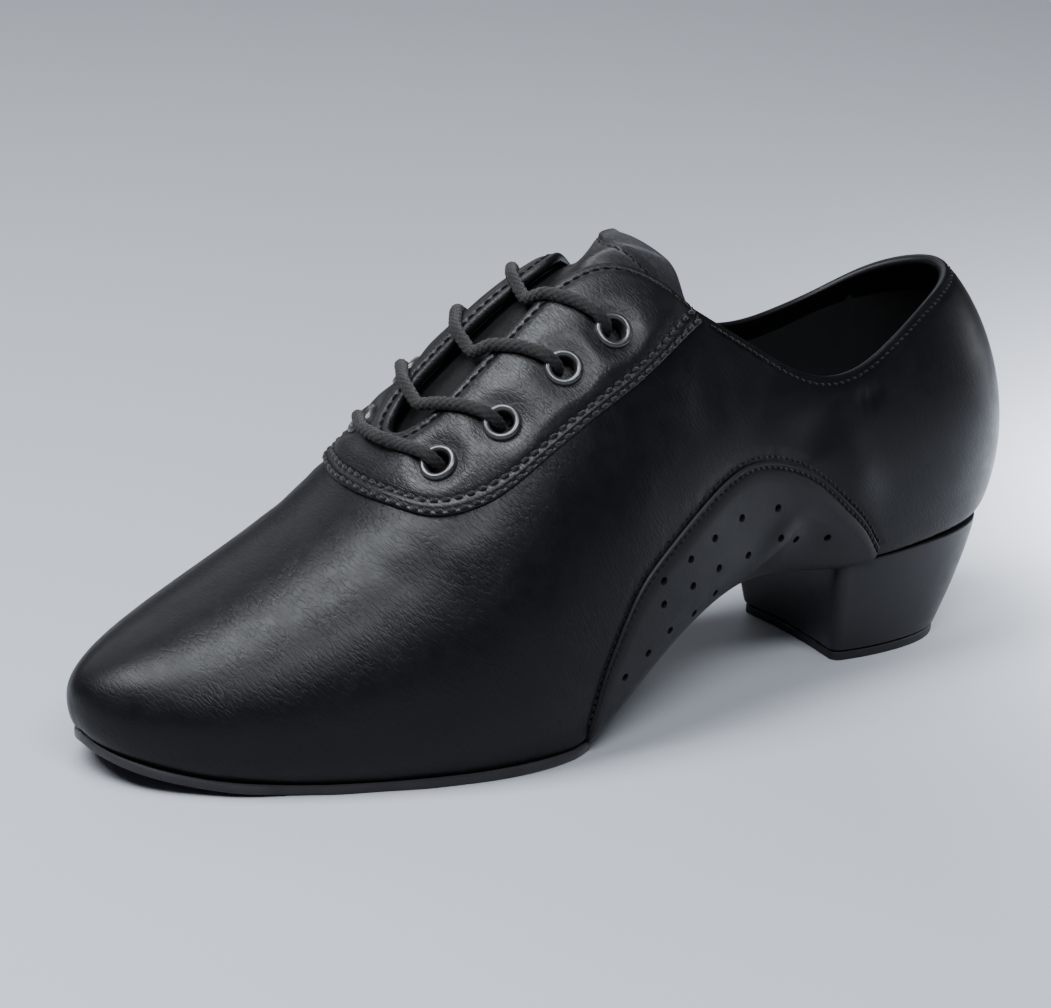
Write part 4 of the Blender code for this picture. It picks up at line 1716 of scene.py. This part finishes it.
@dataclass
class Tongue:
    """The tongue under the throat, with a rolled binding at its top."""

    last: Last
    upper: Upper
    front: float = 207.0
    top: float = 127.0
    edge_rise: float = 54.0
    corner: float = 7.0
    corner_power: float = 4.0
    sweep: float = -13.5
    sweep_power: float = 1.3
    lift: float = 6.5
    lift_start: float = 146.0
    lift_end: float = 126.0
    rim_clear: float = 3.0
    rim_blend: float = 8.0
    seat: float = 1.2
    thickness: float = 2.0
    binding: float = 5.2
    binding_height: float = 0.45
    binding_fade: float = 0.8
    stitch_drop: float = 6.6
    stitch_ends: int = 4
    groove: float = 0.45
    groove_width: float = 0.55
    bulge: float = 0.35
    bulge_start: float = 10.0
    bulge_length: float = 40.0
    edge_radius: float = 1.2
    half_width: float = 30.0
    rows: int = 160
    columns: int = 80

    def sheet_of(self, part: np.ndarray, width: np.ndarray) -> Row:
        """Finds the tongue's outer face.

        Args:
            part: share of the way from its top to its front.
            width: share of the way from its middle to its edge, below zero on the inner side.

        Returns:
            Points and normals.
        """
        share = np.abs(width)
        front = self.front - self.corner * share ** self.corner_power
        top = self.top + self.sweep * share ** self.sweep_power
        x = top + (front - top) * part
        rise = self.last.ridge_rise - (self.last.ridge_rise - self.edge_rise) * share + 0 * part
        lift = self.lift * smooth((self.lift_start - x) / (self.lift_start - self.lift_end))
        rim = np.maximum(self.upper.rim_rise(x, Side.OUTER), self.upper.rim_rise(x, Side.INNER))
        out = lift * smooth((rise - rim - self.rim_clear) / self.rim_blend) - self.upper.wall - self.seat
        angle = self.last.angle_of(x)
        outer = ((width >= 0) & (x > 0))[..., None]
        sides = (Side.OUTER, Side.INNER)
        points = [self.last.raised(angle, rise, side, out) for side in sides]
        normals = [self.last.normal(angle, rise, side) for side in sides]
        return np.where(outer, *points), np.where(outer, *normals)

    def build(self, finishes: Finishes) -> None:
        """Makes the tongue and the stitches of its binding.

        Args:
            finishes: the shoe's materials.
        """
        part = (1 - np.cos(np.pi / 2 * np.linspace(0, 1, self.rows + 1)))[:, None]
        width = np.linspace(-1, 1, self.columns + 1)[None]
        face, normal = self.sheet_of(part, width)
        from_top = run_lengths(face, 0)
        band = self.binding_height * (1 - smooth((from_top - self.binding) / self.binding_fade))
        groove = self.groove * bell(from_top - self.stitch_drop, self.groove_width)
        swelling = np.clip((from_top - self.bulge_start) / self.bulge_length, 0, 1)
        bulge = self.bulge * np.sin(np.pi * swelling) * (1 - width ** 2)
        from_front = run_lengths(face[::-1], 0)[::-1]
        ends = round_edge(from_top, self.edge_radius) * round_edge(from_front, self.edge_radius)
        ends = ends * round_edge((1 - np.abs(width)) * self.half_width, self.edge_radius)
        half = self.thickness / 2
        top = face + normal * ((half + band + bulge - groove) * ends - half)[..., None]
        under = face - normal * (half + (half + band / 2) * ends)[..., None]
        flow = np.stack([run_lengths(face, 1), from_top], -1)
        work = Work(self.last)
        work.sheet(top, flow, turned=True)
        work.sheet(under, flow)
        work.piece("tongue_leather", finishes.tongue, ["tongue"], closed=True)
        row = np.abs(from_top - self.stitch_drop).argmin(0)
        column = np.arange(width.size)
        inner = slice(self.stitch_ends, -self.stitch_ends)
        line = top[row, column][inner]
        stitches = Stitches(self.last, pitch=2.6, thread=0.5, fill=0.86)
        stitches.sew("tongue_stitches", [(line, normal[row, column][inner])], finishes.fine_thread)


@dataclass
class Sole:
    """The suede sole, and the insole that it carries."""

    last: Last
    start: float = 68.0
    rim_rise: float = -78.0
    steps: int = 260
    across: int = 36
    edge_bulge: float = 0.35
    steepest: float = 0.6
    edge_points: int = 9
    crisp: float = 60.0
    least_reach: float = 1e-6
    wave: float = 0.45
    wave_start: float = 180.0
    wave_fade: float = 60.0
    wave_lengths: tuple[float, float] = (5.3, 11.0)
    wave_shift: float = 1.0
    insole_inset: float = 1.7
    insole_seat: float = 0.3
    insole_thickness: float = 1.8
    insole_cup: float = 1.4
    insole_cup_power: int = 6
    insole_half_width: float = 40.0
    insole_edge: float = 1.5
    insole_steps: int = 180
    insole_across: int = 40

    def edge(self, angle: np.ndarray, side: Side, offset: np.ndarray) -> np.ndarray:
        """The plan of the feather line, moved out by an offset."""
        plan = self.last.point(angle, self.rim_rise, side)[:, :2]
        return plan + self.last.plan_normal(angle, side) * np.asarray(offset, float)[..., None]

    def build_outsole(self, finishes: Finishes) -> None:
        """Makes the sole with its rounded edge.

        Args:
            finishes: the shoe's materials.
        """
        rows = named_columns(SOLE_COLUMNS, SOLE_ROWS)
        angle = np.linspace(self.last.angle_of(self.start), math.pi, self.steps + 1)
        x = self.last.length_of(angle)
        lip = Curve(rows["x"], rows["lip"])(x)
        wavy = smooth((x - self.wave_start) / self.wave_fade) * self.wave
        short, long = self.wave_lengths
        lip = lip + wavy * np.sin(x / short) * np.sin(x / long + self.wave_shift)
        top = self.last.feather(angle)
        slope = np.clip(np.gradient(top, x), -self.steepest, self.steepest)
        thick = self.last.sole_thickness * np.interp(x, rows["x"], rows["share"]) * np.sqrt(1 + slope ** 2)
        bottom = np.maximum(top - thick, 0.0)
        outer = self.edge(angle, Side.OUTER, lip)
        inner = self.edge(angle, Side.INNER, lip)
        middle = (outer + inner) / 2
        half = (outer - inner) / 2
        reach = np.maximum(np.linalg.norm(half, axis=-1), self.least_reach)
        turn = np.linspace(-np.pi / 2, np.pi / 2, self.edge_points)
        swell = self.edge_bulge * (np.cos(turn) - 1.0)
        width = np.maximum(1 + swell[None] / reach[:, None], 0.0)
        level = (np.sin(turn) * 0.5 + 0.5)[None]
        height = bottom[:, None] + (top - bottom)[:, None] * level
        over = np.linspace(1, -1, self.across)[None, 1:-1] * width[:, -1:]
        under = np.linspace(-1, 1, self.across)[None, 1:-1] * width[:, :1]
        ring_width = np.concatenate([width, over, -width[:, ::-1], under], 1)
        flat_top = np.repeat(top[:, None], self.across - 2, 1)
        flat_under = np.repeat(bottom[:, None], self.across - 2, 1)
        ring_height = np.concatenate([height, flat_top, height[:, ::-1], flat_under], 1)
        plan = middle[:, None] + half[:, None] * ring_width[..., None]
        points = np.concatenate([plan, ring_height[..., None]], -1)
        flow = points[..., [1, 0]]
        work = Work(self.last)
        work.sheet(points, flow, ringed=True)
        work.cap(points[0])
        work.piece("outsole_suede", finishes.suede, ["outsole"], closed=True, crisp=self.crisp)

    def build_insole(self, finishes: Finishes) -> None:
        """Makes the insole, cupped along its edge.

        Args:
            finishes: the shoe's materials.
        """
        angle = np.linspace(0, math.pi, self.insole_steps + 1)
        inset = np.full(angle.shape, -self.insole_inset)
        outer = self.edge(angle, Side.OUTER, inset)
        inner = self.edge(angle, Side.INNER, inset)
        share = np.linspace(1, -1, self.insole_across + 1)
        plan = (outer + inner)[:, None] / 2 + (outer - inner)[:, None] / 2 * share[None, :, None]
        floor = (self.last.feather(angle) + self.insole_seat)[:, None] + 0 * share
        cup = self.insole_cup * np.abs(share) ** self.insole_cup_power
        rounded = round_edge((1 - np.abs(share)) * self.insole_half_width, self.insole_edge)
        top = floor + (self.insole_thickness + cup) * rounded
        flow = plan[..., ::-1]
        work = Work(self.last)
        work.sheet(np.concatenate([plan, top[..., None]], -1), flow)
        work.sheet(np.concatenate([plan, floor[..., None]], -1), flow, turned=True)
        work.piece("insole_sock", finishes.lining, ["insole"], closed=True)


@dataclass
class Heel:
    """The covered heel block and the tip it stands on."""

    last: Last
    rim_rise: float = -78.0
    breast_top: float = 67.6
    breast_base: float = 64.0
    breast_corner: float = 3.5
    breast_hollow: float = 1.5
    base_back: float = 17.0
    base_width: float = 0.82
    waist_power: float = 1.3
    seat_drop: float = 0.25
    rebate: float = 1.8
    rebate_end: float = 62.0
    rebate_depth: float = 2.4
    seat_round: float = 0.5
    tip_thickness: float = 2.6
    tip_gap: float = 0.3
    tip_inset: float = 0.985
    tip_levels: tuple[tuple[float, float], ...] = (
        (2.6, 0.3),
        (2.45, 0.05),
        (2.2, 0.0),
        (0.4, 0.0),
        (0.1, 0.1),
        (0.0, 0.4),
    )
    rings: int = 64
    back_points: int = 60
    corner_points: int = 13
    breast_points: int = 25
    edge_round: float = 1.1
    crisp: float = 60.0

    def outline(self) -> np.ndarray:
        """Draws the heel's seat: round at the back, square at the breast with round corners.

        Returns:
            Points round it in plan.
        """
        corner_angle = self.last.angle_of(self.breast_top - self.breast_corner)
        turn = np.linspace(0, math.pi / 2, self.corner_points)[1:]
        halves = []
        for side in Side:
            angle = np.linspace(0, corner_angle, self.back_points)
            back = self.last.point(angle, self.rim_rise, side)[:, :2]
            bend_x = back[-1, 0] + (self.breast_top - back[-1, 0]) * np.sin(turn)
            bend_y = back[-1, 1] - side.value * self.breast_corner * (1 - np.cos(turn))
            halves.append(np.concatenate([back, np.stack([bend_x, bend_y], -1)]))
        share = np.linspace(0, 1, self.breast_points)[1:-1]
        breast = halves[0][-1] + (halves[1][-1] - halves[0][-1]) * share[:, None]
        breast[:, 0] -= self.breast_hollow * np.sin(np.pi * share)
        return np.concatenate([halves[0][1:], breast, halves[1][:0:-1], halves[0][:1]])

    def ring(
        self,
        plan: np.ndarray,
        part: float,
        base_z: float,
        shrink: float,
        rebated: bool = True,
    ) -> np.ndarray:
        """Places one ring of the block.

        Args:
            plan: the outline of its seat.
            part: share of the way from the seat to the base.
            base_z: the height of the base.
            shrink: how far the ring is drawn in.
            rebated: whether the cover stops below the seat, further down at the back.

        Returns:
            The ring's points.
        """
        narrow = part ** self.waist_power
        back = plan[:, 0].min()
        base_share = (plan[:, 0] - back) / (self.breast_top - back)
        base_x = self.base_back + (self.breast_base - self.base_back) * base_share
        x = plan[:, 0] + (base_x - plan[:, 0]) * narrow
        y = plan[:, 1] * (1 + (self.base_width - 1) * narrow)
        seat = self.last.feather(self.last.angle_of(plan[:, 0])) - self.seat_drop
        if rebated:
            seat = seat - self.rebate * (1 - smooth(plan[:, 0] / self.rebate_end))
        ring = np.stack([x, y, seat + (base_z - seat) * part], -1)
        middle = ring.mean(0)
        away = unit((ring - middle) * np.array([1.0, 1.0, 0.0]))
        return ring - away * shrink

    def build(self, finishes: Finishes) -> None:
        """Makes the block and the tip.

        Args:
            finishes: the shoe's materials.
        """
        plan = self.outline()
        base_z = self.tip_thickness + self.tip_gap
        parts = 0.5 - 0.5 * np.cos(np.pi * np.linspace(0, 1, self.rings + 1))
        deep = self.last.heel_height - base_z
        rings = [self.ring(plan, 0.0, base_z, self.rebate_depth, rebated) for rebated in (False, True)]
        for part in parts:
            seat_edge = self.seat_round * (1 - round_edge(part * deep, self.seat_round))
            base_edge = self.edge_round * (1 - round_edge((1 - part) * deep, self.edge_round))
            rings.append(self.ring(plan, part, base_z, max(seat_edge, base_edge)))
        points = np.stack(rings)
        flow = np.stack([run_lengths(points, 0), run_lengths(points, 1)], -1)
        work = Work(self.last)
        work.sheet(points, flow, ringed=True)
        work.cap(points[0])
        work.cap(points[-1], turned=True)
        work.piece(
            "heel_block_cover",
            finishes.heel,
            ["heel_block"],
            closed=True,
            crisp=self.crisp,
        )
        base = self.ring(plan, 1.0, base_z, 0.0)
        middle = np.array([(self.base_back + self.breast_base) / 2, 0.0])
        rim = middle + (base[:, :2] - middle) * self.tip_inset
        away = unit(rim - middle)
        flat = np.ones(len(rim))
        tip = np.stack([np.column_stack([rim - away * shrink, z * flat]) for z, shrink in self.tip_levels])
        work = Work(self.last)
        work.sheet(tip, tip[..., :2], ringed=True)
        work.cap(tip[0])
        work.cap(tip[-1], turned=True)
        work.piece("heel_tip_rubber", finishes.tip, ["heel_tip"], closed=True, crisp=self.crisp)


@dataclass
class Lace:
    """The round braided lace: a bar between each pair of eyelets."""

    last: Last
    eyelets: Eyelets
    diameter: float = 3.7
    strands: int = 6
    lead: float = 13.0
    relief: float = 0.42
    sides: int = 48
    step: float = 0.3
    knee_rise: float = 86.0
    far_rise: float = 82.0
    edge_rise: float = 79.5
    sunk: tuple[float, ...] = (-3.6, -0.5)
    clear: tuple[float, ...] = (0.95, 0.8, 0.2)
    bend: float = 1.5
    bend_reach: float = 4.0
    strand_round: float = 0.45
    first_side: tuple[float, float, float] = (1.0, 0.2, 0.1)
    shares: tuple[float, ...] = (0.085, 0.1, 0.27, 0.6, 1.0)

    def route(self, row: dict[str, float]) -> np.ndarray:
        """Finds the middle line of one bar, from inside one eyelet to inside the other.

        Args:
            row: the eyelets' place, and where the bar crosses the throat's edges.

        Returns:
            Points along it.
        """
        radius = self.diameter / 2
        top = self.eyelets.facing_top
        x, rise, knee_x, knee_out, far_x, far_out = (row[name] for name in EYELET_COLUMNS)
        heights = top + np.array([*self.sunk, *(radius + gap for gap in self.clear)])
        ends = (
            (Side.OUTER, knee_x, self.knee_rise, knee_out),
            (Side.INNER, far_x, self.far_rise, far_out),
        )
        legs = []
        crossings = []
        for side, end_x, end_rise, end_out in ends:
            share = np.array(self.shares) * (self.edge_rise - rise) / (end_rise - rise)
            angle = self.last.angle_of(x + (end_x - x) * share)
            legs.append(self.last.raised(angle, rise + (end_rise - rise) * share, side, heights))
            angle = self.last.angle_of(end_x)
            crossings.append(self.last.raised(angle, np.array(end_rise), side, np.array(end_out)))
        line = np.concatenate([legs[0], crossings, legs[1][-2::-1]])
        knots = run_lengths(line, 0)
        at = np.arange(0, knots[-1], self.step)
        limit = self.bend_reach * self.bend
        reach = np.arange(-limit, limit + self.step / 2, self.step)
        weight = np.exp(-((reach / self.bend) ** 2) / 2)
        spare = len(reach) // 2
        rounded = []
        for k in range(3):
            dense = np.pad(np.interp(at, knots, line[:, k]), spare, mode="reflect", reflect_type="odd")
            rounded.append(np.convolve(dense, weight / weight.sum(), "valid"))
        return np.stack(rounded, -1)

    def braid(self, turn: np.ndarray, run: np.ndarray) -> np.ndarray:
        """Works out the height of the braid.

        Args:
            turn: turns round the lace.
            run: distance along it.

        Returns:
            The height, from zero to one.
        """
        right = self.strands * (turn + run / self.lead)
        left = self.strands * (turn - run / self.lead)
        right_over = (np.floor(right) + np.floor(left)) % 2 == 0
        a = 2 * (right % 1) - 1
        b = 2 * (left % 1) - 1
        over = np.where(right_over, a, b)
        along = np.where(right_over, b, a)
        return np.sqrt(np.maximum(1 - over ** 2, 0)) * (1 - self.strand_round * along ** 2)

    def build(self, finishes: Finishes) -> None:
        """Braids each bar.

        Args:
            finishes: the shoe's materials.
        """
        table = named_columns(EYELET_COLUMNS, EYELET_ROWS)
        for number in range(len(EYELET_ROWS)):
            line = self.route({name: float(values[number]) for name, values in table.items()})
            along = unit(np.gradient(line, axis=0))
            across = np.empty_like(along)
            across[0] = unit(np.cross(along[0], np.array(self.first_side)))
            for i in range(1, len(line)):
                across[i] = unit(across[i - 1] - along[i] * (across[i - 1] @ along[i]))
            third = np.cross(along, across)
            turn = np.linspace(0, 1, self.sides, endpoint=False)[None]
            run = run_lengths(line, 0)[:, None]
            radius = self.diameter / 2 - self.relief * (1 - self.braid(turn, run))
            way = 2 * np.pi * turn[..., None]
            spoke = across[:, None] * np.cos(way) + third[:, None] * np.sin(way)
            points = line[:, None] + spoke * radius[..., None]
            flow = np.stack(np.broadcast_arrays(turn * np.pi * self.diameter, run), -1)
            work = Work(self.last)
            work.sheet(points, flow, ringed=True)
            work.cap(points[0])
            work.cap(points[-1], turned=True)
            name = f"lace_bar_{number + 1}"
            work.piece(name + "_braid", finishes.lace, [name], closed=True)


@dataclass
class Softbox:
    """One soft studio light."""

    name: str
    place: tuple[float, float, float]
    aim: tuple[float, float, float]
    size: tuple[float, float]
    power: float
    tint: tuple[float, float, float] = (0.91, 0.95, 1.0)

    def build(self) -> None:
        """Hangs the light."""
        light = bpy.data.lights.new(self.name, "AREA")
        light.shape = "RECTANGLE"
        light.size, light.size_y = self.size
        light.energy = self.power
        light.color = self.tint
        thing = bpy.data.objects.new(self.name, light)
        thing.location = self.place
        thing.rotation_euler = (Vector(self.aim) - Vector(self.place)).to_track_quat("-Z", "Y").to_euler()
        bpy.context.scene.collection.objects.link(thing)


@dataclass
class Studio:
    """Camera, floor and lights."""

    azimuth: float = 32.93
    elevation: float = 19.91
    roll: float = 1.91
    distance: float = 0.9235
    lens: float = 123.47
    aim: tuple[float, float, float] = (0.0403, 0.0434, 0.0746)
    floor_colour: tuple[float, float, float] = (0.36, 0.375, 0.41)
    floor_roughness: float = 0.6
    floor_half: float = 4.0
    room_colour: tuple[float, float, float] = (0.9, 0.93, 1.0)
    ambient: float = 0.05
    nearest: float = 0.01
    farthest: float = 50.0
    middle: tuple[float, float, float] = (0.0, 0.0, 0.06)

    def build(self) -> None:
        """Sets up the studio."""
        self.build_camera()
        self.build_floor()
        self.build_lights()

    def build_camera(self) -> None:
        """Stands the camera at the photograph's angle to the shoe."""
        a, e, r = (math.radians(v) for v in (self.azimuth, self.elevation, self.roll))
        back = Vector((math.sin(a) * math.cos(e), math.cos(a) * math.cos(e), math.sin(e)))
        right = (-back).cross(Vector((0, 0, 1))).normalized()
        up = right.cross(-back)
        tilted = math.cos(r) * right + math.sin(r) * up
        camera = bpy.data.cameras.new("camera")
        camera.lens = self.lens
        camera.clip_start = self.nearest
        camera.clip_end = self.farthest
        thing = bpy.data.objects.new("camera", camera)
        turn = Matrix((tilted, back.cross(tilted), back)).transposed().to_4x4()
        thing.matrix_world = Matrix.Translation(Vector(self.aim) + back * self.distance) @ turn
        bpy.context.scene.collection.objects.link(thing)
        bpy.context.scene.camera = thing

    def build_floor(self) -> None:
        """Lays a plain pale floor."""
        mesh = bpy.data.meshes.new("floor")
        reach = self.floor_half
        corners = [(-reach, -reach, 0), (reach, -reach, 0), (reach, reach, 0), (-reach, reach, 0)]
        mesh.from_pydata(corners, [], [list(range(len(corners)))])
        nodes = Nodes("floor_paint")
        nodes.set(Base_Color=(*self.floor_colour, 1.0), Roughness=self.floor_roughness)
        mesh.materials.append(nodes.material)
        floor = bpy.data.objects.new("floor", mesh)
        bpy.context.scene.collection.objects.link(floor)

    def build_lights(self) -> None:
        """Hangs the soft lights over a dim room."""
        middle = self.middle
        boxes = (
            Softbox("over_toe", (0.5, -0.1, 1.1), middle, (0.45, 0.95), 32.0),
            Softbox("over_side", (0.25, 0.66, 0.96), middle, (0.8, 0.26), 15.0),
            Softbox("beside_heel", (-1.1, 0.1, 0.14), middle, (0.4, 0.3), 1.5),
            Softbox("floor_wash", (-0.36, 0.04, 0.16), (-0.44, 0.06, 0.0), (0.2, 0.3), 6.0),
            Softbox("behind", (-0.15, -1.25, 0.8), middle, (1.8, 0.7), 6.0),
        )
        for box in boxes:
            box.build()
        world = bpy.data.worlds.new("room")
        world.use_nodes = True
        background = world.node_tree.nodes["Background"]
        background.inputs["Color"].default_value = (*self.room_colour, 1.0)
        background.inputs["Strength"].default_value = self.ambient
        bpy.context.scene.world = world


def clear_scene() -> None:
    """Takes Blender's own starting things away."""
    for thing in list(bpy.data.objects):
        bpy.data.objects.remove(thing)


def main() -> None:
    """Dresses the shoe, piece by piece."""
    logging.basicConfig(level=logging.INFO, format="%(name)s %(message)s")
    clear_scene()
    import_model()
    Studio().build()
    last = Last()
    finishes = Finishes.mixed()
    eyelets = Eyelets(last)
    upper = Upper(last)
    panels = [ArchPanel(last, side) for side in Side]
    seams = [trough for panel in panels for trough in panel.seam_troughs()]
    upper.build(finishes, seams, eyelets.holes())
    stitches = Stitches(last, pitch=2.1, thread=0.8)
    for panel in panels:
        arch = upper.creases(panel.side)
        panel.build(finishes, arch)
        inside = panel.row(-panel.row_inside, panel.groove_floor(), arch)
        outside = panel.row(panel.row_outside, 0.0, upper.folds(panel.side, seams))
        stitches.sew(f"arch_seam_stitches_{panel.side.word}", [inside, outside], finishes.fine_thread)
    LaceFacing(last, upper, eyelets).build(finishes)
    Tongue(last, upper).build(finishes)
    sole = Sole(last)
    sole.build_outsole(finishes)
    sole.build_insole(finishes)
    Heel(last).build(finishes)
    eyelets.build(finishes)
    Lace(last, eyelets).build(finishes)


if __name__ == "__main__":
    main()
